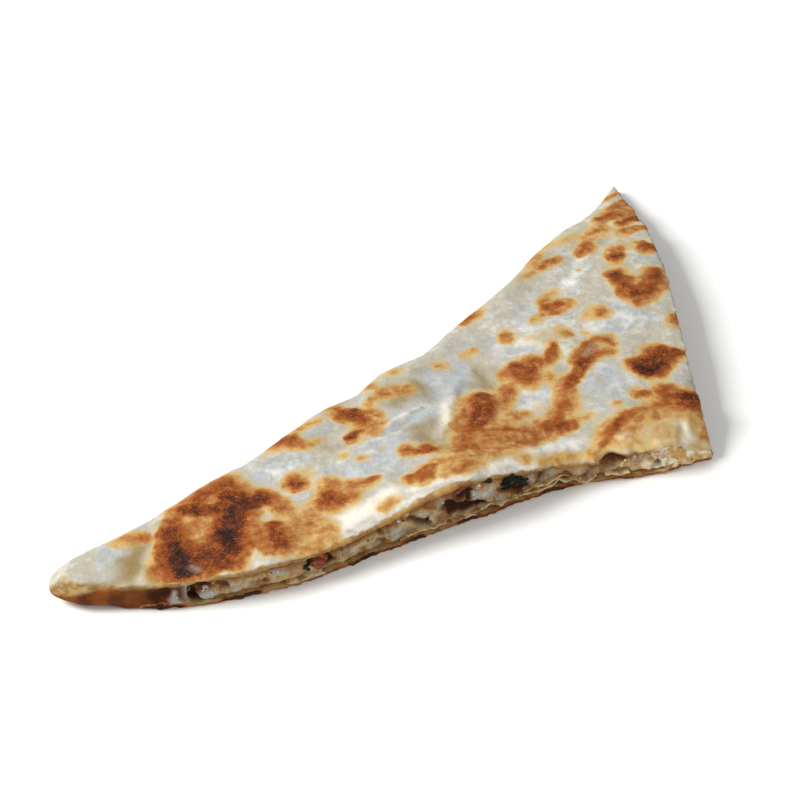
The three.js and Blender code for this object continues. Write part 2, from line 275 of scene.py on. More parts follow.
    (0.30, [(55, -35.6, 1.4), (51.6, -37.6, 1.4)]),
    (0.26, [(49.4, -38.6, 1.4), (53.6, -37.4, 1.2)]),
    (0.34, [(69.6, -33, 1.2), (72.8, -34, 1.4)]),
    (0.28, [(70.6, -37.4, 1.2), (73.2, -38.6, 1.0)]),
    (0.34, [(70.2, -38.8, 0.9)]),
    (0.17, [(63.4, -40.8, 1.4), (66.4, -41.6, 1.4), (69.6, -40.6, 1.6), (72.4, -40, 1.2)]),
    (0.16, [(64.6, -38.4, 1.6), (68.6, -37.8, 1.6)]),
    # the far corner
    (0.42, [(67.2, 45, 1.3), (69.6, 47, 1.6), (72.6, 50, 1.6), (75.4, 53, 1.2)]),
    (0.50, [(68.2, 46, 0.8), (70.2, 47.6, 0.9)]),
    (0.34, [(71.6, 46.6, 1.8), (74.6, 47.6, 2.2), (75.6, 51, 1.2)]),
    (0.62, [(71.2, 42.4, 0.5), (73.6, 43.6, 0.8), (76.4, 44.2, 0.9)]),
    (0.52, [(71.4, 38.4, 0.7), (74, 38.7, 0.7), (76, 39.3, 0.6)]),
    (0.18, [(66.8, 37.6, 1.0)]),
    (0.38, [(70.4, 56.4, 0.6), (72.4, 57, 0.8), (74.6, 58.6, 0.5)]),
]

# Where oil has gone through the dough and left it yellow and a little clear. These places are also darker,
# as painted shade in the skin's dips.
OILY_PLACES = [
    (1.0, [(-61, -48.6, 1.2), (-57.4, -47.6, 2.6), (-55, -49, 1.8)]),
    (1.3, [(-57.4, -50, 2.2), (-58.4, -54, 2.2), (-60, -58.6, 1.8)]),
    (1.0, [(-55.4, -56, 1.2), (-55.4, -59, 1.6), (-53.6, -61, 1.8)]),
    (0.7, [(-66, -61, 1.4), (-58, -62, 1.4), (-50, -63.2, 1.2)]),
    (0.6, [(-33, -30.6, 1.4), (-31, -35, 1.2)]),
    (0.7, [(-17, -25.6, 1.6), (-13.6, -25, 1.8), (-8.4, -26, 2.0)]),
    (0.5, [(-27, -49.4, 1.6), (-23, -47.6, 1.2)]),
    (0.8, [(8.4, -27.4, 2.0), (9.4, -31.4, 2.6), (10, -37, 2.0)]),
    (0.5, [(12.6, -24.6, 1.6), (7, -33, 2.0)]),
    (0.8, [(26.2, -8.6, 1.4), (25.8, -13, 2.2), (27, -15.6, 1.4)]),
    (0.8, [(4, -13, 1.6), (9.2, -11.6, 2.2), (11.8, -13.6, 1.6)]),
    (0.5, [(2.4, -12, 1.6), (5, -13.6, 1.8), (9, -8.4, 1.8)]),
    (0.4, [(12, -4, 2.4), (18, -2, 2.0)]),
    (0.4, [(27, -5, 2.4), (30, -11, 2.0)]),
    (0.5, [(50.4, -38.6, 2.6), (53.4, -42, 1.6), (60, -34.4, 1.6)]),
    (0.5, [(57, -4, 2.6), (61, -7, 2.0)]),
    (0.5, [(36, 20, 3.0), (50, 34, 3.0)]),
    (0.6, [(62, 34, 2.2), (65, 38, 2.0)]),
    (0.5, [(-10, -13, 2.4), (-4, -10, 2.4)]),
    (0.5, [(47, -30.2, 1.2)]),
    (0.6, [(-1, -23.6, 1.6), (1.6, -20, 1.2)]),
]

# Where the skin stays floury, with a cool look that is partly painted shade and a painted sky reflection.
FLOURY_PLACES = [
    (0.9, [(-30, -34, 2.6), (-24.6, -31, 3.4), (-20, -31.6, 3.0)]),
    (0.8, [(-26, -38, 2.0), (-22, -43.6, 1.8), (-19.4, -42, 1.2)]),
    (1.0, [(-29.4, -48, 1.5)]),
    (0.7, [(-16, -36, 2.6), (-12, -34, 2.4)]),
    (0.6, [(-14, -21.4, 2.4), (-10.6, -20, 1.6)]),
    (0.8, [(-9, -38, 3.0), (0, -37, 3.4), (4, -31, 2.4)]),
    (1.0, [(-3, -29.6, 1.8), (2, -25.6, 2.0), (6, -22.6, 2.0), (10, -22, 1.8)]),
    (0.8, [(10, -17, 2.6), (15, -13.6, 3.0), (20, -8.6, 2.4)]),
    (0.7, [(16, -7, 2.4), (23, -4, 2.4)]),
    (1.0, [(33.2, -22.4, 1.8), (36.4, -20.6, 2.0), (36, -25.4, 1.6)]),
    (0.7, [(48, -20, 2.6), (48.6, -26, 2.6), (49, -29, 1.6)]),
    (0.8, [(52.6, -15, 2.0), (54, -20, 2.6), (54, -26, 2.0)]),
    (0.7, [(38, -35.6, 1.6), (41.6, -39.4, 1.8)]),
    (0.8, [(37.6, -3.6, 1.6), (32.8, 0.4, 1.6)]),
    (0.9, [(58, 1, 3.0), (59, 6, 2.6), (66, 4, 3.4)]),
    (0.9, [(50, 8, 2.6), (52, 14, 3.0), (53, 20, 2.6)]),
    (0.8, [(57.6, 35.4, 1.8), (58, 28, 2.4)]),
    (0.6, [(71.4, 25, 1.8), (74, 26, 1.2)]),
    (0.7, [(57, 26, 3.4), (59, 18, 3.0), (59, 12, 2.4)]),
    (0.6, [(40, 8, 3.0), (45, 18, 2.4)]),
    (1.0, [(-64.4, -50, 2.4), (-64, -53, 2.2)]),
    (0.6, [(-66, -57, 2.4), (-63.6, -59, 1.6)]),
    (0.7, [(-54.2, -46, 1.0), (-54.8, -53, 1.0), (-56.8, -56.4, 0.7)]),
]

# Painted light: where the skin is painted almost white, as painted highlights on its crests and on the thin
# edge over the front cut, and as painted light on slopes that turn from the lamp.
LIGHT_PLACES = [
    (0.35, [(34, 7, 2.6), (46, 4, 3.0), (57, 4, 2.6), (66, 2, 2.0)]),
    (0.30, [(44, 12, 2.2), (50, 20, 2.6), (56, 27, 2.0)]),
    (0.50, [(34, -18, 1.6), (39, -20, 1.6)]),
    (0.65, [(30, -40.6, 1.6), (36, -38.4, 2.4), (42, -37, 1.6)]),
    (0.60, [(36, 1.4, 1.6), (41, -3.0, 1.6), (46, -5.6, 1.4)]),
    (1.10, [(63, -41.2, 1.4), (67.4, -40.4, 1.8), (70, -38, 1.2)]),
    (1.0, [(17.8, -18, 0.7), (16.2, -21, 1.0), (15.2, -25, 1.0), (14.4, -29, 0.8), (13.2, -32, 0.5)]),
    (1.0, [(-15, -55, 1.8), (-11, -52, 2.6), (-6, -50.4, 2.0), (-2, -48, 1.6)]),
    (0.8, [(2, -49, 1.0), (10, -48.6, 1.0), (18, -46, 1.0), (26, -43.4, 1.4), (32, -40, 1.0)]),
    (0.7, [(21, -36.6, 0.9), (28, -35.4, 0.8)]),
    (0.8, [(32, -24.6, 1.4), (35.4, -22.6, 1.4)]),
    (0.4, [(33, 1, 1.6), (38, 0.4, 1.6), (43, 3.6, 1.2)]),
    (0.5, [(52, -1, 1.6), (57, 2, 1.6)]),
    (0.5, [(51, 18, 1.6), (55, 23, 1.6), (58.6, 30.6, 1.6)]),
    (0.6, [(40, -38.6, 1.0), (41.6, -36, 1.0)]),
    (0.7, [(63.6, -36.4, 0.7), (66.6, -39.6, 0.9)]),
    (0.4, [(51.6, -38.6, 0.8), (54, -39.6, 0.8)]),
    (0.6, [(64, 44, 1.0), (67, 42.4, 0.6), (72, 41, 0.5), (75.4, 41.8, 0.5)]),
    (0.5, [(-32, -60.6, 1.0), (-31, -50.4, 0.8)]),
    (0.4, [(-20, -33, 2.0), (-25, -34, 2.0)]),
    (0.6, [(-1, -25.3, 0.3), (3, -22.8, 0.5), (7, -20.3, 0.5), (10, -18.8, 0.3)]),
    (0.5, [(-4, -29.2, 0.3), (1, -27.8, 0.4)]),
]

# Painted highlights on the crests of the golden corner, painted near white.
PALE_CRESTS = [
    (0.9, [(64.6, -40.6, 0.8), (66.8, -38.6, 1.2), (66.2, -36, 0.7)]),
    (0.7, [(50.6, -39.4, 0.7), (52.4, -38.6, 0.5)]),
    (0.5, [(57.6, -41.6, 0.8), (60.8, -41.2, 0.6)]),
    (0.4, [(63.6, -34.8, 0.7), (57, -37.4, 0.7)]),
]

# Where the brown is rubbed pale again.
RUBBED_PLACES = [
    (1.0, [(50.2, -8.8, 0.6), (51.8, -7.0, 0.9)]),
    (0.7, [(52.4, -5.2, 0.5), (54.2, -6.2, 0.4)]),
    (0.9, [(-47.4, -60.2, 0.4), (-46.2, -61.6, 0.7)]),
    (0.7, [(56.2, -36.6, 0.8), (57, -38.8, 0.9)]),
]

# Ridges and creases of the upper skin: the line, its half width, and its height.
RIDGES = [
    ([(20, -12), (16.2, -19), (15, -27), (12, -31)], 1.6, 0.75),
    ([(13, -36.8), (20, -38), (28, -36.8), (36, -34)], 1.0, -0.45),
    ([(-1, -25.5), (3, -23), (7, -20.5), (10, -19)], 0.8, 0.60),
    ([(0, -27.5), (4, -25.5), (7, -23)], 0.7, -0.45),
    ([(-4, -29.5), (1, -28), (4.6, -27.4)], 0.7, 0.45),
    ([(-9, -30), (-3, -27)], 0.9, 0.30),
    ([(-52.5, -43.5), (-52.3, -51), (-56.5, -58.5)], 1.1, 0.40),
    ([(0, -45.5), (10, -44), (20, -42), (30, -40)], 2.2, 0.45),
    ([(43, -42), (46, -39.5), (50, -39), (53, -41)], 1.2, 0.50),
    ([(57, -28), (64, -29.5), (70, -30)], 1.2, -0.35),
    ([(40, -24), (37, -28), (33, -29)], 1.2, -0.35),
    ([(70, 40.3), (76, 41.2)], 0.7, -0.35),
    ([(69, 45), (75.5, 47)], 0.7, -0.30),
]

# Broad rises and falls: a middle in plan, its radius and its height.
SWELLS = [
    ((26.5, -46.5), 4.5, -0.8),
    ((38.5, -42.0), 5.0, 1.0),
    ((-20, -30), 7.0, 0.5),
    ((-9, -22), 5.0, -0.4),
    ((5, -14), 5.0, 0.5),
    ((23, -21), 6.0, 0.6),
    ((34, -22), 5.0, -0.5),
    ((64, -14), 5.0, 0.5),
    ((68, 15), 6.0, 0.4),
    ((52, 5), 6.0, -0.4),
]

# From here on, places are (x, z) on the front cut's face. Hollows are gaps in the filling, pushed in and
# coloured near black as painted shade.
HOLLOWS = [
    (1.0, [(-49.2, 5.2, 0.9), (-48.4, 3.4, 1.5), (-47.4, 2.4, 0.7)]),
    (0.6, [(-45.8, 5.6, 0.6), (-44.6, 5.4, 0.5)]),
    (0.7, [(-53.6, 5.0, 0.8), (-55.4, 3.6, 1.0), (-54.6, 1.8, 0.7)]),
    (0.6, [(-42.2, 5.0, 0.6), (-40.8, 4.0, 1.0)]),
    (0.5, [(-36.4, 5.4, 0.5), (-34, 4.8, 0.4)]),
    (0.9, [(-18.7, 6.2, 0.4), (-18.2, 3.2, 0.7)]),
    (0.5, [(-22.4, 6.2, 0.6), (-21.6, 5.0, 0.4)]),
    (0.6, [(-12.6, 6.4, 0.5), (-10.6, 6.8, 0.4)]),
    (0.6, [(-9.6, 7.6, 0.7), (-6.8, 6.8, 0.8), (-6.0, 5.2, 0.5)]),
    (0.5, [(-7.0, 3.6, 0.6), (-5.4, 2.4, 0.4)]),
    (0.6, [(0.4, 6.6, 0.5), (2.6, 4.4, 0.7), (5.0, 2.9, 0.6)]),
    (0.9, [(9.6, 6.8, 0.8), (10.8, 4.8, 1.5), (13.0, 4.4, 1.0)]),
    (0.8, [(12.4, 7.6, 0.6), (14.6, 7.8, 0.7), (14.2, 6.0, 0.6)]),
    (0.9, [(13.0, 3.6, 0.8), (17.6, 3.1, 0.7)]),
    (0.8, [(25.2, 4.4, 0.7), (28.0, 3.8, 0.7)]),
    (0.6, [(31.2, 6.8, 0.6), (31.6, 4.4, 0.8)]),
    (0.7, [(36.4, 2.8, 0.4), (38.4, 2.2, 0.4)]),
    (0.6, [(46.2, 5.6, 0.8), (48.6, 6.2, 1.2), (50.4, 5.0, 0.8)]),
    (0.7, [(49.6, 1.9, 0.4), (51.2, 1.7, 0.4)]),
    (0.7, [(57.8, 3.4, 0.5), (58.4, 2.8, 0.4)]),
    (0.5, [(55.2, 5.4, 0.4), (56.2, 4.6, 0.4)]),
]

# Where juice has browned the filling's face.
JUICY_PLACES = [
    (1.0, [(-47.6, 4.8, 1.4), (-44.4, 5.0, 0.8)]),
    (0.5, [(-42, 3.6, 1.2)]),
    (0.5, [(-35, 2.6, 1.0), (-32, 3.2, 1.2)]),
    (0.5, [(-31, 6.4, 0.9), (-27, 6.4, 0.8)]),
    (0.5, [(-27, 4.8, 1.0), (-24.6, 4.2, 1.0)]),
    (0.9, [(-22.6, 4.4, 1.0), (-20, 4.0, 2.0), (-16.8, 3.4, 1.0)]),
    (0.7, [(-18, 6.2, 1.2), (-14, 6.4, 0.8), (-10, 7.2, 1.0), (-5, 7.4, 1.2), (-4.6, 5.6, 0.8)]),
    (0.5, [(0, 2.0, 1.2), (3, 3.2, 1.4), (1.6, 5.0, 1.4)]),
    (0.6, [(4.4, 8.0, 0.9), (6.6, 7.4, 0.8)]),
    (1.0, [(9.4, 6.4, 1.8), (11, 4.6, 1.8), (14, 4.2, 1.6)]),
    (0.9, [(12, 7.4, 1.6), (14.6, 7.6, 1.4)]),
    (0.6, [(10, 9.0, 1.2), (14.4, 9.4, 1.2)]),
    (0.8, [(16.6, 3.2, 1.2), (18, 2.2, 1.0)]),
    (1.0, [(22, 6.0, 1.4), (24, 4.8, 1.2), (26.6, 4.2, 1.6), (26, 2.8, 1.0)]),
    (0.6, [(30, 2.2, 1.2), (31.4, 5.0, 1.0), (33.4, 6.0, 0.9)]),
    (0.6, [(33, 1.8, 1.2), (38, 2.2, 1.2)]),
    (0.5, [(42, 2.0, 1.2), (43, 3.6, 1.0)]),
    (0.7, [(45.6, 3.4, 1.2), (47.4, 5.0, 1.6), (50, 4.6, 1.0)]),
    (0.6, [(49.4, 1.8, 1.2), (51.4, 2.0, 0.8)]),
    (0.4, [(54, 5.2, 1.2)]),
]

# Pale lumps of curd and potato.
PALE_LUMPS = [
    (0.8, [(-51.6, 4.6, 0.5), (-52.0, 2.6, 0.9), (-50.4, 1.2, 0.6)]),
    (1.0, [(-45.4, 4.6, 0.8), (-45.0, 2.8, 1.4), (-43.2, 2.2, 0.8)]),
    (0.8, [(-39.4, 4.2, 0.5), (-38.9, 2.8, 0.8)]),
    (0.5, [(-36.4, 3.0, 0.8), (-35.0, 2.6, 0.6)]),
    (0.7, [(-30.4, 4.9, 0.8), (-28.6, 4.3, 0.9)]),
    (0.8, [(-24.4, 0.9, 0.5), (-20.0, 1.0, 0.6)]),
    (0.5, [(-22.8, 6.4, 0.7), (-21.6, 6.8, 0.5)]),
    (0.4, [(-15.0, 4.8, 0.9), (-12.4, 3.4, 1.2)]),
    (0.4, [(-8.4, 4.4, 0.7), (-8.6, 2.8, 0.7)]),
    (1.0, [(-3.6, 4.6, 0.9), (-1.8, 3.6, 1.4)]),
    (0.5, [(2.4, 7.0, 0.7), (4.8, 5.8, 0.7)]),
    (0.6, [(7.6, 8.6, 0.6), (8.0, 6.6, 1.0)]),
    (0.5, [(5.4, 2.4, 0.5), (8.6, 2.2, 0.5)]),
    (0.9, [(15.4, 7.4, 0.9), (17.2, 6.0, 1.4), (19.6, 6.2, 1.2)]),
    (0.8, [(19.4, 3.4, 0.7), (22.6, 2.8, 0.7)]),
    (0.8, [(24.4, 4.8, 0.5)]),
    (0.7, [(28.6, 6.8, 0.7), (29.2, 4.4, 0.9)]),
    (0.6, [(33.0, 5.6, 0.7), (34.8, 3.6, 0.8)]),
]

# Bready lumps between the filling and the crumbly corner.
LOAF_LUMPS = [
    (0.7, [(32, 4.4, 1.2), (36, 5, 1.8), (41, 4.2, 1.4)]),
]

# Toasting on the dough's own edge.
FACE_MARKS = [
    (0.95, [(-58, 0.2, 0.9), (-54, 0.5, 1.1), (-49.6, 0.3, 0.9)]),
    (0.70, [(-46, 0.1, 0.5), (-42, 0.2, 0.6)]),
    (0.95, [(-41, 0.5, 0.7), (-37, 0.9, 1.0), (-34, 0.7, 0.8)]),
    (0.60, [(-19, 0.6, 0.7), (-15, 0.4, 0.8)]),
    (0.98, [(-13.5, 0.3, 0.8), (-9, 0.5, 1.1), (-6.6, 0.3, 0.7)]),
    (0.80, [(-6, 0.2, 0.8), (-1, 0.3, 0.8)]),
    (0.98, [(0, 0.5, 0.9), (2.4, 0.8, 1.2), (4, 0.4, 0.8)]),
    (0.85, [(12, 1.0, 0.7), (14, 0.6, 1.0), (16.4, 0.3, 0.8)]),
    (0.65, [(17, 0.3, 0.8), (24, 0.3, 0.9)]),
    (0.75, [(25, 0.2, 0.9), (31, 0.3, 1.0)]),
    (0.92, [(32, 0.3, 0.9), (35, 0.6, 1.1), (38.6, 0.3, 0.9)]),
    (0.55, [(43, 0.2, 0.6), (47, 0.2, 0.7)]),
    (0.75, [(48.4, 0.3, 0.9), (52, 0.2, 0.7)]),
    (0.50, [(53, 0.2, 0.7), (60, 0.2, 0.7)]),
    (0.70, [(61, 0.2, 0.7), (66, 0.1, 0.5), (70, 0.1, 0.8)]),
]

# Single curds, herb flecks and pepper flakes in the front cut: place (x, z) and size.
CURDS = [
    (-51.2, 3.2, 1.6), (-45.2, 3.9, 2.0), (-44.0, 2.6, 1.8), (-38.6, 3.2, 1.6), (-29.5, 4.7, 1.7),
    (-20.5, 1.8, 1.3), (-2.6, 4.2, 2.0), (-1.2, 3.0, 1.5), (3.4, 6.4, 1.4), (8.0, 7.6, 1.8),
    (15.9, 6.9, 2.0), (17.8, 5.9, 2.2), (19.4, 6.3, 1.6), (21.2, 3.1, 1.4), (24.6, 4.6, 1.1),
    (28.7, 5.6, 1.8), (34.0, 4.2, 1.5), (53.0, 4.8, 1.4), (59.6, 4.4, 1.8),
]
HERBS = [
    (22.4, 6.9, 2.0), (22.8, 5.6, 2.0), (23.6, 6.4, 2.2), (23.4, 7.8, 1.8), (24.4, 8.2, 1.8),
    (24.6, 7.2, 2.2), (25.4, 7.2, 1.8), (25.8, 6.2, 2.2), (26.8, 5.8, 2.0), (27.6, 6.2, 1.6),
    (27.6, 5.2, 1.6), (22.6, 7.2, 1.6), (25.0, 5.8, 1.8), (26.6, 6.6, 1.6), (23.8, 5.2, 1.6),
    (19.1, 9.7, 1.6), (18.6, 9.5, 1.2), (-22.8, 4.8, 1.8), (-23.3, 3.7, 1.4), (14.3, 5.6, 1.2),
]
PEPPER = [
    (-20.6, 4.6, 3.4), (-19.6, 5.4, 2.6), (-20.9, 3.6, 2.6), (-18.6, 4.2, 2.0), (-30.4, 6.3, 1.6),
    (-32.0, 3.4, 1.7), (10.4, 9.4, 1.7), (12.2, 8.8, 1.6), (26.2, 4.3, 1.6), (55.0, 1.7, 1.0),
    (63.0, 1.2, 1.0),
]

# Edges of the thin loose layers: places along each cut and up.
FRONT_LAYERS = [
    [(26, 2.6), (29, 2.2), (32, 2.0), (34.2, 2.6), (35.4, 3.8), (36.8, 2.4), (39.2, 2.4), (41.9, 0.4),
     (44.2, 2.2)],
    [(15, 2.2), (17.5, 2.6), (19.5, 3.4), (21.6, 1.6), (23.4, 2.6), (26, 2.2)],
    [(27, 3.4), (29.6, 3.8), (32.4, 3.0), (34, 3.8), (36, 4.6), (38, 3.6)],
    [(37.4, 3.4), (39, 2.7), (40.4, 1.2), (41.6, 0.5), (42.8, 1.4), (44, 2.6)],
    [(46, 2.2), (48, 1.9), (50, 1.6), (51.6, 2.0)],
    [(-28, 1.5), (-25, 1.1), (-22.6, 1.5), (-19, 1.2)],
    [(-2, 2.0), (2, 2.7), (6, 2.1), (9, 2.4)],
    [(10, 1.6), (13, 2.0), (16, 1.5)],
]
SIDE_LAYERS = [
    [(-34, 2.2), (-30, 3.4), (-27, 2.0), (-23, 2.6)],
    [(-16, 2.0), (-12, 3.2), (-8, 2.4), (-4, 4.0), (0, 2.2)],
    [(8, 3.8), (12, 2.4), (15, 3.6), (19, 2.2), (24, 3.0)],
    [(30, 2.2), (34, 3.2), (38, 2.0), (42, 2.6)],
]

# Where the upper leaf is torn back from the front cut: x, half width and depth of the tear.
TEARS = [
    (47.6, 2.2, 2.3),
    (52.8, 1.2, 0.8),
    (43.6, 1.0, -0.8),
    (33.5, 1.6, 0.4),
]


# ---------------------------------------------------------------- operators, as by hand


def only(thing):
    """Selects one object and nothing else."""
    bpy.ops.object.select_all(action="DESELECT")
    thing.select_set(True)
    bpy.context.view_layer.objects.active = thing


def modify(thing, kind, **settings):
    """Adds a modifier and applies it."""
    only(thing)
    modifier = thing.modifiers.new(kind.title(), kind)
    for key, value in settings.items():
        setattr(modifier, key, value)
    bpy.ops.object.modifier_apply(modifier=modifier.name)


def block_from(node_name, name):
    """A free, evenly meshed copy of one of the model's solids."""
    only(frame["nodes"][node_name])
    bpy.ops.object.duplicate()
    piece = bpy.context.active_object
    bpy.ops.object.parent_clear(type="CLEAR_KEEP_TRANSFORM")
    for key in list(piece.keys()):
        del piece[key]
    piece.name = name
    piece.data.name = name
    piece.data.materials.clear()
    bpy.ops.object.mode_set(mode="EDIT")
    bpy.ops.mesh.select_all(action="SELECT")
    bpy.ops.mesh.remove_doubles(threshold=1e-6)
    bpy.ops.object.mode_set(mode="OBJECT")
    modify(piece, "REMESH", mode="VOXEL", voxel_size=VOXEL_MM * MM)
    return piece


def edit_faces(piece, chosen):
    """Goes into edit mode with only the chosen faces selected."""
    only(piece)
    bpy.ops.object.mode_set(mode="EDIT")
    bpy.ops.mesh.select_mode(type="FACE")
    bpy.ops.mesh.select_all(action="DESELECT")
    bpy.ops.object.mode_set(mode="OBJECT")
    piece.data.polygons.foreach_set("select", chosen)
    bpy.ops.object.mode_set(mode="EDIT")


def coarsen(piece, chosen, share):
    """Leaves only a share of the chosen faces, where nothing of them shows."""
    edit_faces(piece, chosen)
    bpy.ops.mesh.decimate(ratio=share)
    bpy.ops.object.mode_set(mode="OBJECT")


def refine_beside_cuts(piece, reach_mm):
    """Splits the faces near the cuts, for their finer relief."""
    edit_faces(piece, gap_to_cuts(face_middles(piece)) < reach_mm)
    bpy.ops.mesh.subdivide(number_cuts=1)
    bpy.ops.object.mode_set(mode="OBJECT")


def rows(data, name):
    """One of a mesh's lists of vectors, one row each."""
    flat = np.empty(len(data) * 3)
    data.foreach_get(name, flat)
    return flat.reshape(-1, 3)


def face_middles(piece):
    return rows(piece.data.polygons, "center") / MM


def put_points(piece, points):
    piece.data.vertices.foreach_set("co", (points * MM).ravel())
    piece.data.update()


def put_attributes(piece, **fields):
    """Numbers on the piece's vertices, which its material reads by their names."""
    for name, values in fields.items():
        attribute = piece.data.attributes.new(name, "FLOAT", "POINT")
        attribute.data.foreach_set("value", np.asarray(values, float))


def tree_of(mesh):
    corners = [v.co / MM for v in mesh.vertices]
    return BVHTree.FromPolygons(corners, [tuple(f.vertices) for f in mesh.polygons])


# ---------------------------------------------------------------- fields over the wedge


def smooth(low, high, values):
    """0 at low and 1 at high, with a soft change between them. High may be the smaller number."""
    share = np.clip((values - low) / (high - low), 0.0, 1.0)
    return share * share * (3.0 - 2.0 * share)


def hump(distances, reach):
    """1 at no distance, and next to nothing past twice the reach."""
    return np.exp(-((distances / reach) ** 2))


def ripple(points, size_mm, seed):
    """Soft noise from -1 to 1, with lumps of about the given size."""
    offset = Vector((seed * 13.7, seed * 7.3, seed * 3.1))
    return np.array([noise.noise(Vector(p) / size_mm + offset) for p in points.tolist()])


def wander(points, size_mm, seed):
    """Two ripples side by side, to move places in a plane by."""
    return np.stack([ripple(points, size_mm, seed), ripple(points, size_mm, seed + 1)], 1)


def pebbles(points, size_mm, seed):
    """Height of a heap of round lumps: 1 on top of a lump and 0 in the gaps between them."""
    cells = 32  # the heap repeats after this many lumps
    jitter = np.random.default_rng(seed).random((cells, cells, cells, 3))
    cell = np.floor(points / size_mm).astype(int)
    nearest = np.full(len(points), 9.0)
    for step in np.ndindex(3, 3, 3):
        near = cell + np.array(step) - 1
        middle = near + jitter[near[:, 0] % cells, near[:, 1] % cells, near[:, 2] % cells]
        nearest = np.minimum(nearest, np.linalg.norm(points / size_mm - middle, axis=1))
    return 1.0 - smooth(0.0, 0.9, nearest)


def from_line(points, line):
    """Distance of each point from a line of points, and how far along the line that is."""
    best = np.full(len(points), np.inf)
    along = np.zeros(len(points))
    start = 0.0
    for a, b in zip(line[:-1], line[1:]):
        step = b - a
        length = np.hypot(*step)
        share = np.clip(((points - a) @ step) / length**2, 0.0, 1.0)
        gap = np.hypot(*(points - a - share[:, None] * step).T)
        closer = gap < best
        best = np.where(closer, gap, best)
        along = np.where(closer, start + share * length, along)
        start += length
    return best, along


def from_stroke(points, line):
    """Distance of each point from a stroke's edge, which is below 0 inside it. One point is a dot."""
    best = np.full(len(points), np.inf)
    for a, b in zip(line[:-1] or line, line[1:] or line):
        start, step, half_a, half_b = np.array(a[:2]), np.subtract(b[:2], a[:2]), a[2], b[2]
        share = np.clip(((points - start) @ step) / max(step @ step, 1e-9), 0.0, 1.0)
        gap = np.hypot(*(points - start - share[:, None] * step).T)
        best = np.minimum(best, gap - half_a - share * (half_b - half_a))
    return best


def strokes(places, marks, soft_mm, spread_mm=0.0):
    """Soft strokes laid over each other: 0 off them all, and as strong as the strongest inside them."""
    power = 6  # high enough that the strongest stroke wins
    total = np.zeros(len(places))
    for strength, line in marks:
        gap = from_stroke(places, line) - spread_mm
        total += (strength * smooth(1.5 * soft_mm, -1.2 * soft_mm, gap)) ** power
    return total ** (1 / power)


def cut_lines():
    """The two cuts in plan, in order, from the upright faces that stand on the base."""
    mesh = frame["nodes"][DOUGH_NODE].data
    front, side = set(), set()
    for face in mesh.polygons:
        if abs(face.normal.z) > 0.02:
            continue
        line = side if face.normal.x > 0.5 else front
        for index in face.vertices:
            x, y, z = mesh.vertices[index].co / MM
            if z < 0.05:
                line.add((round(x, 3), round(y, 3)))
    return np.array(sorted(front)), np.array(sorted(side, key=lambda place: place[1]))


FRONT_LINE, SIDE_LINE = cut_lines()
DOUGH_TREE = tree_of(frame["nodes"][DOUGH_NODE].data)


def gap_to_cuts(points):
    """How far each point is in plan from the nearer cut."""
    front_gap, _ = from_line(points[:, :2], FRONT_LINE)
    side_gap, _ = from_line(points[:, :2], SIDE_LINE)
    return np.minimum(front_gap, side_gap)


def height_at(x, y):
    """Height of the upper skin over a place in plan, or over the nearest place that has any."""
    above, step_in, if_none = 30.0, 0.3, 3.0
    down = Vector((0, 0, -1))
    hit = DOUGH_TREE.ray_cast(Vector((x, y, above)), down)[0]
    if hit is None:
        edge = DOUGH_TREE.find_nearest(Vector((x, y, 1.0)))[0]
        inwards = Vector((edge.x - x, edge.y - y, 0)).normalized() * step_in
        hit = DOUGH_TREE.ray_cast(Vector((edge.x, edge.y, above)) + inwards, down)[0]
    return hit.z if hit else if_none


class Places:
    """Where each point of a block lies: under the skin, beside the cuts and along them."""

    SIDE_STARTS_AT = 500.0  # so that no place along the side cut has the number of one in front

    def __init__(self, points, normals):
        self.points = points
        self.plan = points[:, :2]
        self.x, _, self.z = points.T
        self.flat = points * (1.0, 1.0, 0.0)
        self.normals = normals
        self.height = np.array([height_at(x, y) for x, y, _ in points.tolist()])
        self.below_top = self.height - self.z
        front_gap, front_along = from_line(self.plan, FRONT_LINE)
        side_gap, side_along = from_line(self.plan, SIDE_LINE)
        self.at_side = side_gap < front_gap
        self.at_front = ~self.at_side
        self.gap = np.where(self.at_side, side_gap, front_gap)
        self.along = np.where(self.at_side, self.SIDE_STARTS_AT + side_along, front_along)
        self.outwards = np.where(self.at_side[:, None], [1.0, 0.0, 0.0], [0.0, -1.0, 0.0])
        self.facing_out = (normals * self.outwards).sum(1)
        # 0 in the under leaf and 1 in the upper one, with a soft change between them
        self.upper = smooth(0.35, 0.65, self.z / self.height)
        # places on a cut's face: along the cut and up
        self.on_face = np.stack([np.where(self.at_side, self.along, self.x), self.z], 1)

    def along_noise(self, size_mm, seed):
        offset = Vector((0, seed * 5.3, seed * 9.1))
        return np.array([noise.noise(Vector((s / size_mm, 0, 0)) + offset) for s in self.along.tolist()])

    def beside_cut(self, reach_mm):
        return hump(self.gap, reach_mm)


def vertex_places(piece):
    return Places(rows(piece.data.vertices, "co") / MM, rows(piece.data.vertices, "normal"))


def rise(places):
    """How far the upper leaf and what is under it rise or fall."""
    lift = 0.45 * ripple(places.flat, 15.0, 1) + 0.34 * ripple(places.flat, 6.5, 2)
    for middle, radius, height in SWELLS:
        lift += height * hump(np.hypot(*(places.plan - middle).T), radius)
    lift += (0.35 * places.along_noise(7.0, 3) - 0.30) * places.beside_cut(1.8)
    return lift * places.upper * smooth(*PRESSED_TO_FILLED_MM, places.height)


def tear(places):
    """How far back the upper leaf is torn from the front cut."""
    back = np.zeros(len(places.points))
    for x, half_width, depth in TEARS:
        back += depth * hump(places.x - x, half_width)
    return back * places.at_front


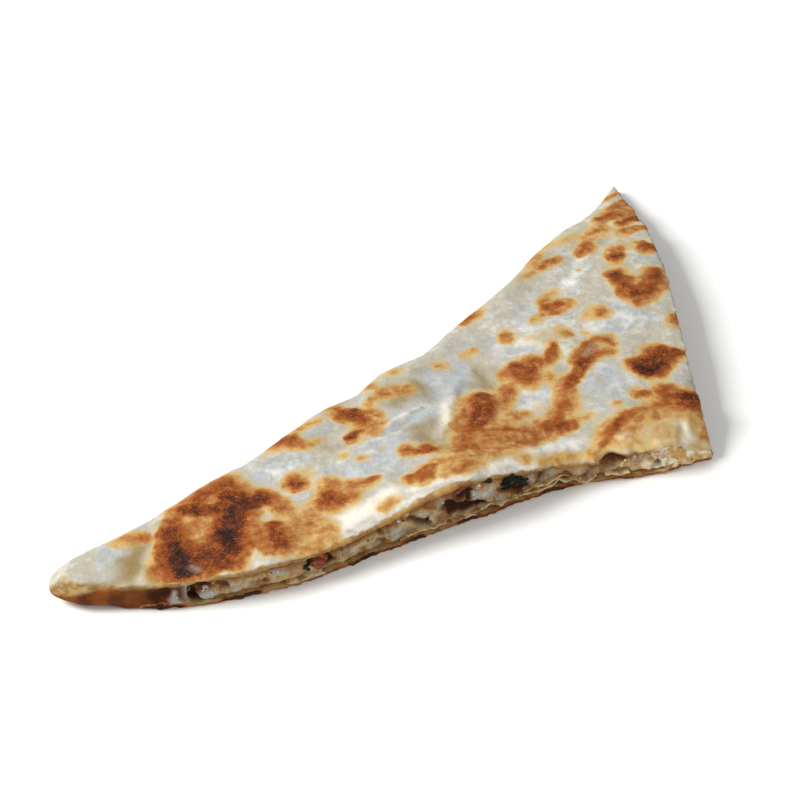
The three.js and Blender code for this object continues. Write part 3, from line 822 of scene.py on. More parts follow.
def face_relief(places):
    """The cut faces' hollows and pale lumps, listed in front and strewn at the side."""
    spots = places.on_face + wander(places.points, 1.8, 41) * 0.5
    hollow = strokes(spots, HOLLOWS, soft_mm=0.5) * places.at_front
    pale = strokes(spots, PALE_LUMPS, soft_mm=0.5) * places.at_front
    hollow = np.maximum(hollow, places.at_side * smooth(0.18, 0.5, ripple(places.points, 3.0, 43)))
    # the side cut has no pale scraps towards the far corner
    scraps = smooth(0.15, 0.5, ripple(places.points, 2.2, 44)) * smooth(38.0, 30.0, places.points[:, 1])
    pale = np.maximum(pale, 0.7 * scraps * places.at_side)
    return hollow, pale * (1.0 - hollow)


# ---------------------------------------------------------------- the dough


def random_marks(count, rng):
    low, high = cad_low / MM, cad_high / MM
    marks = []
    for _ in range(count):
        x, y = rng.uniform(low[0], high[0]), rng.uniform(low[1], high[1])
        turn, reach = rng.uniform(0, math.pi), rng.uniform(0.5, 6.0)
        end = (x + reach * math.cos(turn), y + reach * math.sin(turn))
        half = rng.uniform(0.6, 3.0)
        marks.append((rng.uniform(0.25, 0.8), [(x, y, half), (*end, half * rng.uniform(0.4, 1.0))]))
    return marks


def toasting(places, marks):
    """How brown each place of a skin is, with uneven edges to the marks."""
    strayed = wander(places.flat, 4.0, 21) * 0.7
    strayed += wander(places.flat, 1.5, 23) * 0.45
    # round the fold the marks' edges stray with height as well
    steep = smooth(0.9, 0.4, np.abs(places.normals[:, 2])) * smooth(3.0, 5.0, places.gap)
    strayed += 2.4 * wander(places.points, 2.6, 51) * steep[:, None]
    spots = places.plan + strayed
    edge = np.maximum(MARK_EDGE_MM * (1.0 + 1.2 * ripple(places.flat, 5.0, 26)), 0.5)
    halo = MARK_HALO_SHARE * strokes(spots, marks, MARK_HALO_MM, MARK_SPREAD_MM)
    return np.maximum(strokes(spots, marks, edge, MARK_SPREAD_MM), halo)


def round_tip(dough):
    """Smooths the shut tip's front face more than the rest."""
    x, y, z = (rows(dough.data.vertices, "co") / MM).T
    at_tip = smooth(-54.0, -60.0, x)
    in_front = smooth(-57.0, -59.5, y)
    between_edges = smooth(5.8, 4.4, z) * smooth(0.4, 1.6, z)
    share = at_tip * in_front * between_edges
    tip = dough.vertex_groups.new(name="tip")
    for index in np.flatnonzero(share > 0.01).tolist():
        tip.add([index], float(share[index]), "REPLACE")
    modify(dough, "SMOOTH", factor=0.5, iterations=30, vertex_group=tip.name)
    dough.vertex_groups.clear()


def shape_dough_mesh(dough):
    """A smoother block, with fewer faces where nothing shows and more beside the cuts."""
    modify(dough, "SMOOTH", factor=0.5, iterations=3)
    round_tip(dough)
    places = Places(face_middles(dough), rows(dough.data.polygons, "normal"))
    slope = places.normals[:, 2]
    lining = ((places.z - 0.5 * places.height) * slope < 0) & (np.abs(slope) > 0.5)
    coarsen(dough, lining & (places.gap > 5.0), share=0.08)
    refine_beside_cuts(dough, reach_mm=2.4)


class DoughParts:
    """How far each vertex of the dough belongs to its lining, its cut edges, its shut tip and so on."""

    def __init__(self, places):
        x, z, gap, slope = places.x, places.z, places.gap, places.normals[:, 2]
        # the lining: the skins that the two leaves turn to each other
        level = np.maximum(smooth(0.2, 0.5, np.abs(slope)), smooth(4.0, 2.5, gap))
        self.lining = smooth(0.0, 0.3, gap) * ((z - 0.5 * places.height) * slope < 0) * level
        self.lining *= smooth(*SHUT_TIP_TO_LINING, x)
        # the section: the leaves' edges along the cuts
        tip_end = smooth(*OPEN_TO_SHUT_TIP, x)
        self.section = smooth(0.15, 0.55, places.facing_out) * (1.0 - smooth(0.8, 1.4, gap))
        self.section *= 1.0 - tip_end
        self.section *= smooth(0.0, 0.35, z) * smooth(0.15, 0.5, places.below_top)
        # the shut tip's front face, and the part of it below the brim that is amber, darkened as painted
        # shade
        self.tip_face = tip_end * smooth(0.15, 0.5, places.normals @ TIP_FACES)
        amber_tip = self.tip_face * smooth(0.4, -0.5, z - np.interp(x, *TIP_BRIM))
        self.corner = smooth(*LEAF_TO_CRUMBLY_CORNER, x) * places.at_front

        # the hollows, and the first hole where the pocket opens, are pushed in here and later coloured dark
        # as painted shade
        hollow, pale = face_relief(places)
        between = smooth(0.8, 1.3, z) * smooth(0.8, 1.3, places.below_top)
        first_hole = self.lining * smooth(*FILLING_TO_FIRST_HOLE, x)
        relieved = np.maximum(np.maximum(self.section * between, first_hole), amber_tip)
        self.hollow = np.maximum(hollow * relieved, first_hole * smooth(0.9, 1.6, z))
        self.pale = pale * relieved
        self.seared = smooth(*AMBER_TO_SEARED_TIP, x + 2.0 * ripple(places.points, 2.4, 30))
        self.seared *= amber_tip * (1.0 - self.pale)
        # the upper leaf's cut edge is amber where it lies deeper under the top, partly as painted shade
        leaf_inside = smooth(0.5, 1.3, places.below_top) * self.section * (1.0 - self.corner)
        self.amber = np.maximum(0.30 * leaf_inside, amber_tip) * (1.0 - 0.8 * self.pale)


def browning(places, parts, brown_above):
    """How brown the dough is: by the marks on its two skins, and along the edge that met the griddle."""
    brown_below = toasting(places, random_marks(UNDER_MARK_COUNT, random.Random(3)))
    turned = smooth(0.25, 0.75, places.upper + 0.6 * ripple(places.points, 3.0, 53))
    skins = (turned * brown_above + (1.0 - turned) * brown_below) * (1.0 - parts.section)
    skins *= 1.0 - parts.lining
    edge = np.maximum(parts.section, parts.tip_face)
    face_spots = places.on_face + 0.5 * ripple(places.points, 2.5, 25)[:, None]
    brown_face = strokes(face_spots, FACE_MARKS, soft_mm=0.7) * places.at_front
    crust = smooth(1.0, 0.2, places.z) * (0.45 + 0.5 * places.along_noise(5.0, 27))
    brown = np.maximum(skins * (1.0 - parts.tip_face), brown_face * edge)
    return np.maximum(brown, crust * edge)


def dough_relief(places, parts, brown_above):
    """The dough's points, moved up by its blisters and ridges and in and out by its ragged edges."""
    upper, lower = places.upper, 1.0 - places.upper
    moved = places.points.copy()
    moved[:, 2] += rise(places)
    # the upper skin is uneven, blistered where it is brown, and has its ridges
    relief = 0.12 * ripple(places.flat, 3.0, 11) + 0.03 * ripple(places.flat, 1.1, 14)
    relief += 0.30 * smooth(0.15, 0.6, brown_above) * (0.7 + 0.6 * ripple(places.flat, 1.8, 12))
    strayed = places.plan + 0.6 * ripple(places.flat, 4.0, 13)[:, None]
    for line, half_width, height in RIDGES:
        gap, _ = from_line(strayed, np.array(line, float))
        relief += height * hump(gap, half_width)
    moved[:, 2] += relief * (upper * (1.0 - parts.lining) * smooth(*PRESSED_TO_FILLED_MM, places.height))
    # the under leaf curls up here and there beside the cuts
    curl = np.maximum(0.5 * places.along_noise(6.0, 5) + 0.10, 0.0) * places.beside_cut(3.0)
    moved[:, 2] += curl * lower

    # both leaves' edges waver, and the upper one is torn back
    wave_above = 0.35 * places.along_noise(3.6, 6) + 0.20 * places.along_noise(1.3, 7) - 0.10
    wave_below = 0.45 * places.along_noise(4.4, 8) + 0.25 * places.along_noise(1.5, 9) + 0.15
    push = (wave_above * upper + wave_below * lower) * places.beside_cut(1.8)
    push -= tear(places) * upper * places.beside_cut(4.0)
    push -= 1.3 * parts.hollow - 0.3 * parts.pale
    # the corner is crumbly
    crumbs = 0.5 * pebbles(places.points, 3.0, 28) + 0.3 * ripple(places.points, 1.6, 29) - 0.4
    push += crumbs * parts.corner * parts.section
    moved += places.outwards * push[:, None]
    moved[:, 2] = np.maximum(moved[:, 2], 0.0)
    return moved


def fried_lip(places):
    """The upper leaf's edge over the front cut, which is fried golden."""
    x = places.x
    back = places.gap + 0.8 * places.along_noise(3.0, 17) + 0.4 * places.along_noise(1.2, 18)
    # it is widest in the middle of the cut, and ends before the tip and the corner
    back += 0.8 * smooth(-15.0, -22.0, x) + 0.8 * smooth(12.0, 18.0, x)
    return smooth(1.5, 0.5, back) * smooth(*TIP_TO_LIP, x) * smooth(*CORNER_TO_LIP, x) * places.at_front


def make_dough():
    dough = block_from(DOUGH_NODE, "griddled_dough")
    shape_dough_mesh(dough)
    places = vertex_places(dough)
    parts = DoughParts(places)
    plan, upper = places.plan, places.upper
    brown_above = toasting(places, UPPER_MARKS)
    put_points(dough, dough_relief(places, parts, brown_above))

    # the oil and the flour stray from their places, and beside the cuts the skin is painted lighter, as a
    # painted highlight on the lip
    drift = wander(places.flat, 6.0, 15) * 3.0
    beside_cut = 0.4 * hump(places.gap - 2.0, 3.0) * smooth(*CORNER_TO_LIGHT_SKIN, places.x)
    put_attributes(
        dough,
        toast=browning(places, parts, brown_above),
        cut=np.maximum(np.maximum(parts.section, parts.lining), parts.tip_face),
        bready=parts.corner * parts.section,
        # amber: the translucent dough's amber, darkened as painted shade
        amber=parts.amber,
        # hollow: painted shade in the hollows and the first hole, and the seared tip's own dark brown
        hollow=np.maximum(parts.hollow, 0.75 * parts.seared),
        pale=parts.pale,
        # oil: the oil's yellow, and painted shade in the skin's dips
        oil=strokes(plan + drift, OILY_PLACES, soft_mm=3.6) * upper,
        # flour: the floury places, darkened and cooled as painted shade and a painted sky reflection
        flour=strokes(plan + drift, FLOURY_PLACES, soft_mm=3.0) * upper,
        # light: the painted highlights, and the painted light beside the cuts
        light=np.maximum(strokes(plan, LIGHT_PLACES, soft_mm=1.6), beside_cut) * upper,
        lip=fried_lip(places) * upper,
        # crest: painted highlights on the corner's crests
        crest=strokes(plan + 0.5 * drift, PALE_CRESTS, soft_mm=1.4) * upper,
        rubbed=strokes(plan, RUBBED_PLACES, soft_mm=0.6) * upper,
    )
    bpy.ops.object.shade_smooth()
    return dough


# ---------------------------------------------------------------- the filling


def filling_relief(places, face, lumps, hollow, pale):
    """The filling's points: lumpy and torn back at the cuts, and grown into the dough elsewhere."""
    near_end = smooth(53.0, 58.0, places.x)
    last_part = smooth(58.0, 60.0, places.x)
    past_end = smooth(59.4, 61.0, places.x)
    torn = tear(places) * smooth(3.0, 5.0, places.z)
    push = (lumps - 0.45 + 0.35 * pale - 1.6 * hollow) * face - torn * places.beside_cut(4.0)
    push += 0.6 * near_end * face * places.at_front
    moved = places.points + places.outwards * push[:, None]
    # it is pressed into both leaves, and into the crumbly corner at its far end
    grown = 0.45 - 0.25 * face + 0.5 * last_part * face
    moved += places.normals * (grown * (1.0 - smooth(0.2, 0.7, places.facing_out)))[:, None]
    moved[:, 0] += 1.4 * past_end * places.at_front
    # it stays under the upper skin, and rises and falls with it
    roof = places.height - 0.45 - 0.8 * smooth(57.0, 60.0, places.x)
    moved[:, 2] = np.minimum(moved[:, 2], roof) + rise(places)
    return moved


def make_filling():
    filling = block_from(FILLING_NODE, "potato_filling")
    coarsen(filling, gap_to_cuts(face_middles(filling)) > 4.5, share=0.05)
    refine_beside_cuts(filling, reach_mm=2.6)
    places = vertex_places(filling)
    points, x = places.points, places.x
    face = 1.0 - smooth(1.4, 2.6, places.gap)
    hollow, pale = face_relief(places)
    lumps = 0.7 * pebbles(points, 3.2, 31) + 0.35 * pebbles(points, 1.5, 32)
    lumps += 0.15 * ripple(points, 0.8, 34)
    put_points(filling, filling_relief(places, face, lumps, hollow, pale))

    # painted shadow: the low places between the lumps are coloured dark
    gaps = smooth(0.10, -0.35, lumps - 0.35) * 0.35 * smooth(60.0, 52.0, x)
    bready = np.maximum(smooth(*FILLING_TO_BREAD, x), strokes(places.on_face, LOAF_LUMPS, soft_mm=0.8))
    # the filling just under the upper leaf is golden brown, and darker as painted shade under the leaf's
    # edge
    under_leaf = 0.9 * smooth(3.8, 2.0, places.below_top + 0.5 * ripple(points, 2.2, 48))
    spots = places.on_face + 0.8 * ripple(points, 2.4, 46)[:, None]
    juice_in_front = strokes(spots, JUICY_PLACES, soft_mm=1.2) * places.at_front
    juice_at_side = places.at_side * smooth(0.0, 0.5, ripple(points, 4.0, 47))
    put_attributes(
        filling,
        hollow=np.clip(np.maximum(hollow, gaps) * face, 0.0, 1.0),
        pale=pale,
        bready=bready * places.at_front,
        golden=under_leaf * (1.0 - hollow) * (1.0 - 0.8 * bready),
        juice=np.maximum(juice_in_front, juice_at_side),
    )
    bpy.ops.object.shade_smooth()
    return filling


# ---------------------------------------------------------------- what lies loose at the cuts


def small_lump(squash, seed):
    """A crumb or curd, 1 mm across: a coarse ball, pushed out of round."""
    bpy.ops.object.select_all(action="DESELECT")
    bpy.ops.mesh.primitive_ico_sphere_add(subdivisions=2, radius=0.5 * MM)
    lump = bpy.context.active_object
    bpy.ops.object.mode_set(mode="EDIT")
    bpy.ops.transform.resize(value=(1.0, squash, 0.85 * squash))
    bpy.ops.transform.vertex_random(offset=0.22 * MM, uniform=0.6, normal=0.5, seed=seed)
    bpy.ops.mesh.vertices_smooth(factor=0.35)
    bpy.ops.object.mode_set(mode="OBJECT")
    bpy.ops.object.shade_smooth()
    return lump


def small_leaf(width_mm, thickness_mm, seed):
    """A fleck of leaf or dried skin, 1 mm long: a sheet narrowed at its ends, curled and given body."""
    bpy.ops.object.select_all(action="DESELECT")
    bpy.ops.mesh.primitive_grid_add(x_subdivisions=6, y_subdivisions=4, size=1.0)
    leaf = bpy.context.active_object
    rng = random.Random(seed)
    curl = rng.uniform(0.15, 0.45)
    for vertex in leaf.data.vertices:
        x, y, _ = vertex.co
        narrow = 1.0 - 0.75 * (2.0 * abs(x)) ** 2.4
        side = y * narrow + rng.uniform(-0.05, 0.05)
        lift = curl * (x * x + 1.4 * side * side) + rng.uniform(-0.04, 0.04)
        vertex.co = Vector((x, side * width_mm, lift)) * MM
    modify(leaf, "SOLIDIFY", thickness=thickness_mm * MM, offset=0.0)
    modify(leaf, "BEVEL", width=0.2 * thickness_mm * MM, segments=1)
    bpy.ops.object.shade_smooth()
    return leaf


def copy_to(model, place_mm, turn, size):
    """One more copy of a model, with a mesh of its own, set down at a place."""
    copy = model.copy()
    copy.data = model.data.copy()
    copy.location = Vector(place_mm) * MM
    copy.rotation_euler = turn
    copy.scale = (size, size, size)
    bpy.context.scene.collection.objects.link(copy)
    return copy


def gathered(name, copies, models=()):
    """The copies as one piece at the origin. The models they were made from go."""
    for model in models:
        bpy.data.objects.remove(model, do_unlink=True)
    bpy.ops.object.select_all(action="DESELECT")
    for copy in copies:
        copy.select_set(True)
    bpy.context.view_layer.objects.active = copies[0]
    bpy.ops.object.join()
    bpy.ops.object.transform_apply(location=True, rotation=True, scale=True)
    piece = bpy.context.active_object
    piece.name = name
    piece.data.name = name
    return piece


class CutFaces:
    """The finished surfaces at the cuts, to set small things against."""

    def __init__(self, dough, filling):
        self.trees = [tree_of(dough.data), tree_of(filling.data)]

    def hit(self, start, way):
        """The first place that a straight line meets, and whether that is filling."""
        hits = [tree.ray_cast(Vector(start), Vector(way)) for tree in self.trees]
        reach = [hit[3] if hit[0] else 1e9 for hit in hits]
        filled = reach[1] < reach[0]
        nearest = hits[1] if filled else hits[0]
        return nearest[0], filled

    def front(self, x, z):
        return self.hit((x, -90.0, z), (0, 1, 0))

    def side(self, y, z):
        return self.hit((90.0, y, z), (-1, 0, 0))


def any_turn(rng):
    return Euler([rng.uniform(0, math.tau) for _ in range(3)])


def against_face(rng):
    """A turn that lays a flat fleck more or less against the front cut's face."""
    lean = 0.6
    tipped = 0.5 * math.pi + rng.uniform(-lean, lean)
    return Euler((tipped, rng.uniform(0, math.tau), rng.uniform(-lean, lean)))


def in_dark(place):
    """Whether a place of the front cut lies in a hollow or in a browned part."""
    spot = np.array([[place.x, place.z]])
    hollow = strokes(spot, HOLLOWS, soft_mm=0.5)[0]
    juicy = strokes(spot, JUICY_PLACES, soft_mm=0.6)[0]
    return hollow > 0.3 or juicy > 0.5


def strew(models, faces, rng, count, sizes, sink=0.0, front_share=0.6):
    """Copies of the models all over both cut faces, where the filling shows."""
    copies = []
    while len(copies) < count:
        size = rng.uniform(*sizes)
        model = rng.choice(models)
        if rng.random() < front_share:
            place, filled = faces.front(rng.uniform(*FRONT_FACE[0]), rng.uniform(*FRONT_FACE[1]))
            inwards = Vector((0, 1, 0))
        else:
            place, filled = faces.side(rng.uniform(*SIDE_FACE[0]), rng.uniform(*SIDE_FACE[1]))
            inwards = Vector((-1, 0, 0))
        if filled and not (inwards.y and in_dark(place)):
            copies.append(copy_to(model, place + inwards * sink * size, any_turn(rng), size))
    return copies


def set_down(models, faces, rng, spots, turn, sink=0.0, proud_mm=0.0):
    """Copies of the models at chosen spots of the front cut, sunk into it or standing a little proud."""
    copies = []
    for x, z, size in spots:
        place, _ = faces.front(x, z)
        inwards = Vector((0, sink * size - proud_mm, 0))
        copies.append(copy_to(rng.choice(models), place + inwards, turn(rng), size))
    return copies


def make_crumbs(faces):
    rng = random.Random(11)
    models = [small_lump(squash, seed) for seed, squash in enumerate((0.85, 0.7, 0.95), 1)]
    copies = strew(models, faces, rng, CRUMB_COUNT, sizes=(0.45, 1.3), sink=0.28)
    # the corner of the front cut is all crumbs, on the dough as well
    cut_y, deepest_y = -42.0, -38.0
    while len(copies) < CRUMB_COUNT + CORNER_CRUMB_COUNT:
        x = rng.uniform(*CORNER_FACE)
        place, _ = faces.front(x, rng.uniform(1.0, 0.75 * height_at(x, cut_y)))
        size = rng.uniform(0.9, 2.0)
        if place and place.y < deepest_y:
            inwards = Vector((0, 0.36 * size, 0))
            copies.append(copy_to(rng.choice(models), place + inwards, any_turn(rng), size))
    return gathered("potato_crumbs", copies, models)


def make_curds(faces):
    rng = random.Random(12)
    models = [small_lump(squash, seed) for seed, squash in enumerate((0.9, 0.75), 5)]
    copies = strew(models, faces, rng, CURD_COUNT, sizes=(0.7, 1.7), sink=0.3)
    copies += set_down(models, faces, rng, CURDS, any_turn, sink=0.38)
    return gathered("cheese_curds", copies, models)


def make_flecks(name, models, faces, rng, spots, count, sizes, front_share):
    """Flat flecks on the cut faces: a count of strewn ones, and the chosen ones in front."""
    copies = strew(models, faces, rng, count, sizes, front_share=front_share)
    copies += set_down(models, faces, rng, spots, against_face, proud_mm=0.15)
    return gathered(name, copies, models)


def make_herbs(faces):
    models = [small_leaf(width, 0.12, seed) for seed, width in enumerate((0.6, 0.45, 0.8), 1)]
    rng = random.Random(13)
    return make_flecks(
        "herb_flecks", models, faces, rng, HERBS, HERB_COUNT, sizes=(0.7, 1.6), front_share=0.25
    )


def make_pepper(faces):
    models = [small_leaf(0.55, 0.25, 7), small_leaf(0.4, 0.3, 8)]
    rng = random.Random(14)
    return make_flecks(
        "pepper_flakes", models, faces, rng, PEPPER, PEPPER_COUNT, sizes=(0.6, 1.4), front_share=0.2
    )


def crinkled_sheet(path, start, inwards, seed):
    """A thin layer of dough whose edge follows a path across the cut face, running inwards."""
    bpy.ops.object.select_all(action="DESELECT")
    columns = 6 * (len(path) - 1)
    bpy.ops.mesh.primitive_grid_add(x_subdivisions=columns, y_subdivisions=8, size=1.0)
    sheet = bpy.context.active_object
    along, heights = np.array(path, float).T
    for vertex in sheet.data.vertices:
        share, depth = vertex.co.x + 0.5, vertex.co.y + 0.5
        s = along[0] + share * (along[-1] - along[0])
        z = np.interp(s, along, heights) * (1.0 - 0.5 * depth) + 0.8 * depth
        z += 0.3 * noise.noise(Vector((s * 0.9, depth * 2.0, seed)))
        out = depth * LAYER_DEPTH_MM - 0.35 + 0.5 * noise.noise(Vector((s * 0.7, 3.0, seed)))
        vertex.co = (start(s) + Vector(inwards) * out + Vector((0, 0, max(z, 0.35)))) * MM
    modify(sheet, "SOLIDIFY", thickness=LAYER_THICKNESS_MM * MM, offset=0.0)
    modify(sheet, "SUBSURF", levels=1, render_levels=1)
    bpy.ops.object.shade_smooth()
    return sheet


def on_front(x):
    return Vector((x, np.interp(x, FRONT_LINE[:, 0], FRONT_LINE[:, 1]), 0))


def on_side(y):
    return Vector((np.interp(y, SIDE_LINE[:, 1], SIDE_LINE[:, 0]), y, 0))


def make_layers():
    """Thin, loose layers of dough that stand out of the cuts."""
    sheets = [crinkled_sheet(path, on_front, (0, 1, 0), i) for i, path in enumerate(FRONT_LAYERS)]
    sheets += [crinkled_sheet(path, on_side, (-1, 0, 0), 20 + i) for i, path in enumerate(SIDE_LAYERS)]
    return gathered("inner_layers", sheets)


# ---------------------------------------------------------------- finishes


def linear(red, green, blue):
    """A screen colour from 0 to 255 as the linear colour that the shader wants."""
    shares = [c / 255 for c in (red, green, blue)]
    return tuple(s / 12.92 if s <= 0.04045 else ((s + 0.055) / 1.055) ** 2.4 for s in shares) + (1.0,)


class Wire:
    """An output socket that can stand in a sum, so that shader maths reads as maths."""

    def __init__(self, finish, socket):
        self.finish = finish
        self.socket = socket

    def math(self, operation, first, second):
        return self.finish.add("ShaderNodeMath", {"operation": operation}, {0: first, 1: second})

    def __add__(self, other):
        return self.math("ADD", self, other)

    def __radd__(self, other):
        return self.math("ADD", other, self)

    def __sub__(self, other):
        return self.math("SUBTRACT", self, other)

    def __rsub__(self, other):
        return self.math("SUBTRACT", other, self)

    def __mul__(self, other):
        return self.math("MULTIPLY", self, other)

    def __rmul__(self, other):
        return self.math("MULTIPLY", other, self)

    def step(self, low, high):
        """0 below low and 1 above high, with a smooth change between them."""
        settings = {"interpolation_type": "SMOOTHSTEP"}
        values = {"Value": self, "From Min": low, "From Max": high}
        return self.finish.add("ShaderNodeMapRange", settings, values)


class Finish:
    """A material with one Principled shader, and short ways to add nodes to it.

    Its constants are the shader's sockets by name, with _ for each space.
    """

    def __init__(self, name, **constants):
        self.material = bpy.data.materials.new(name)
        self.material.use_nodes = True
        self.tree = self.material.node_tree
        self.shader = self.tree.nodes["Principled BSDF"]
        for socket, value in constants.items():
            self.shader.inputs[socket.replace("_", " ")].default_value = value
        self.place = self.add("ShaderNodeTexCoord", {}, {}, "Object")

    def add(self, kind, settings, values, output=0):
        """A node of a kind, with its settings first and then its sockets' values or links."""
        node = self.tree.nodes.new(kind)
        stops = settings.pop("stops", [])
        for key, value in settings.items():
            setattr(node, key, value)
        for _ in stops[2:]:
            node.color_ramp.elements.new(0.5)
        for element, (position, colour) in zip(node.color_ramp.elements if stops else [], stops):
            element.position = position
            element.color = colour
        for key, value in values.items():
            self.feed(node.inputs[key], value)
        return Wire(self, node.outputs[output])

    def feed(self, socket, value):
        if isinstance(value, Wire):
            self.tree.links.new(value.socket, socket)
        else:
            socket.default_value = value

    def attribute(self, name):
        return self.add("ShaderNodeAttribute", {"attribute_name": name}, {}, "Fac")

    def stretched(self, x, y, z):
        """Object coordinates with a pattern drawn out along one of its axes."""
        return self.add("ShaderNodeMapping", {}, {"Vector": self.place, "Scale": (x, y, z)})

    def noise(self, size_mm, detail=3.0, roughness=0.55, place=None):
        values = {"Vector": place or self.place, "Scale": 1.0 / (size_mm * MM), "Detail": detail}
        values["Roughness"] = roughness
        return self.add("ShaderNodeTexNoise", {}, values, "Fac")

    def mix(self, share, ground, coat):
        """A share of a coat over a ground, each a wire or a screen colour."""
        ground, coat = [c if isinstance(c, Wire) else linear(*c) for c in (ground, coat)]
        return self.add("ShaderNodeMix", {"data_type": "RGBA"}, {0: share, 6: ground, 7: coat}, 2)

    def coated(self, ground, *coats):
        """Coats laid over a ground one after the other, each with its share."""
        for share, coat in coats:
            ground = self.mix(share, ground, coat)
        return ground

    def patchy(self, size_mm, low, high, first, second):
        """A patchy pattern, and the colour that goes with it from the first to the second."""
        patch = self.noise(size_mm, 3.0, 0.6)
        return patch, self.mix(patch.step(low, high), first, second)

    def ramp(self, factor, stops):
        return self.add("ShaderNodeValToRGB", {"stops": stops}, {"Fac": factor}, "Color")

    def bump(self, height, distance_mm, strength):
        values = {"Height": height, "Distance": distance_mm * MM, "Strength": strength}
        return self.add("ShaderNodeBump", {}, values, "Normal")

    def surface(self, colour, roughness, normal):
        self.feed(self.shader.inputs["Base Color"], colour)
        self.feed(self.shader.inputs["Roughness"], roughness)
        self.feed(self.shader.inputs["Normal"], normal)
        return self.material


# From pale dough to char.
TOAST_STOPS = [
    (0.00, linear(198, 188, 156)),
    (0.10, linear(199, 172, 110)),
    (0.20, linear(194, 154, 90)),
    (0.33, linear(172, 120, 68)),
    (0.46, linear(154, 88, 38)),
    (0.60, linear(128, 62, 24)),
    (0.76, linear(84, 40, 22)),
    (1.00, linear(34, 20, 17)),
]


def dough_finish():
    finish = Finish(
        "griddled dough",
        Subsurface_Weight=0.08,
        Subsurface_Radius=(0.9, 0.6, 0.35),
        Subsurface_Scale=0.0010,
        Specular_IOR_Level=0.14,
    )
    field = finish.attribute
    broad = finish.noise(13.0, 2.0)
    patch = finish.noise(3.8, 3.0, 0.55)
    soft = finish.noise(6.5, 2.0)
    mottle = finish.noise(1.9, 3.0, 0.6)
    grain = finish.noise(0.8, 4.0, 0.65)
    speck = finish.noise(0.38, 2.0)

    # the skin where it isn't brown: cool where it is floury, yellow where it is oily, and both are darkened
    # as painted shade
    floury = (field("flour") + (patch - 0.5) * 1.6 + (broad - 0.5) * 2.0).step(0.0, 0.8)
    oily = (field("oil") + (broad - 0.5) * 1.2 + (patch - 0.5) * 1.6).step(0.1, 1.2)
    # painted light: the painted highlights and the lightened slopes are mixed in near white
    light = (field("light") + (patch - 0.5) * 0.8 + (mottle - 0.5) * 0.3).step(0.0, 1.0)
    pale_skin = finish.coated(
        finish.mix(floury, (177, 171, 154), (168, 173, 175)),
        (patch.step(0.50, 0.70) * 0.45, (212, 212, 206)),
        (soft.step(0.52, 0.70) * 0.40, (156, 151, 132)),
        (mottle.step(0.50, 0.68) * 0.30, (208, 207, 199)),
        ((1.0 - mottle).step(0.52, 0.70) * 0.25, (152, 146, 126)),
        (finish.noise(2.4, 2.0).step(0.60, 0.75) * 0.35, (198, 164, 112)),
        (oily * 0.85, (148, 130, 84)),
        (light * 0.85, (236, 231, 219)),
        ((grain - 0.5).step(0.05, 0.2) * 0.22, (236, 234, 228)),
    )

    # the brown of its marks, which the patterns break up, with ash on the scorched ones
    toast = field("toast")
    marked = toast.step(0.06, 0.32)
    scorched = toast.step(0.45, 0.65)
    heat = toast + (grain * 0.22 + speck * 0.12 + mottle * 0.34 + patch * 0.50 - 0.59) * marked
    heat += (speck * 0.6 + grain * 0.4 - 0.50) * scorched
    ash = finish.noise(0.55, 2.0).step(0.64, 0.74) * scorched * 0.6
    brown = finish.mix(ash, finish.ramp(heat, TOAST_STOPS), (160, 124, 90))

    # the skin with its marks, its oil and the painted shade with it, the painted highlights on its crests
    # and its fried edge
    rubbed = field("rubbed") * (speck * 1.2 + grain * 0.8 - 0.5).step(0.2, 0.7)
    crest = (field("crest") + (mottle - 0.5) * 0.8).step(0.1, 0.9)
    fried = finish.mix(patch.step(0.40, 0.60), (184, 140, 66), (142, 92, 32))
    lip = (field("lip") + (mottle - 0.5) * 0.9).step(0.1, 0.9)
    skin = finish.coated(
        pale_skin,
        (heat.step(0.0, 0.22), brown),
        (oily * 0.60 * (1.0 - heat.step(0.15, 0.45)), (132, 104, 50)),
        (rubbed * 0.75, (186, 172, 146)),
        (crest * 0.85 * (1.0 - toast.step(0.30, 0.40)), (238, 230, 208)),
        (lip * 0.85, fried),
    )

    # what the cuts show: layered crumb, amber at the tip darkened as painted shade, painted shade in the
    # hollows, and bread at the corner
    layers = finish.noise(1.4, 3.0, 0.6, finish.stretched(0.45, 0.45, 1.3))
    bread = finish.coated(
        finish.mix(mottle.step(0.42, 0.60), (194, 152, 88), (224, 200, 148)),
        (finish.noise(2.8, 2.0).step(0.50, 0.62), (238, 228, 202)),
        (finish.noise(2.1, 2.0, 0.5).step(0.62, 0.72) * 0.7, (158, 98, 48)),
    )
    crumb = finish.coated(
        finish.mix(layers.step(0.38, 0.62), (130, 100, 56), (168, 140, 90)),
        (lip * 0.6, fried),
        # the amber, partly painted shade
        (field("amber"), finish.mix(patch.step(0.40, 0.62), (122, 66, 18), (88, 42, 14))),
        (field("pale"), (168, 170, 164)),
        # painted shade: the hollows and the first hole are coloured near black, and the seared tip shares
        # this dark brown
        (field("hollow"), (60, 24, 6)),
        (field("bready") * 0.85, bread),
        (toast.step(0.25, 0.5), brown),
    )
    relief = grain * (0.15 + scorched * 0.5) + mottle * 0.2 + patch * 0.9 + soft * 1.4
    return finish.surface(
        finish.mix(field("cut"), skin, crumb),
        0.72 - heat.step(0.2, 0.7) * 0.08,
        finish.bump(relief, distance_mm=0.9, strength=0.45),
    )


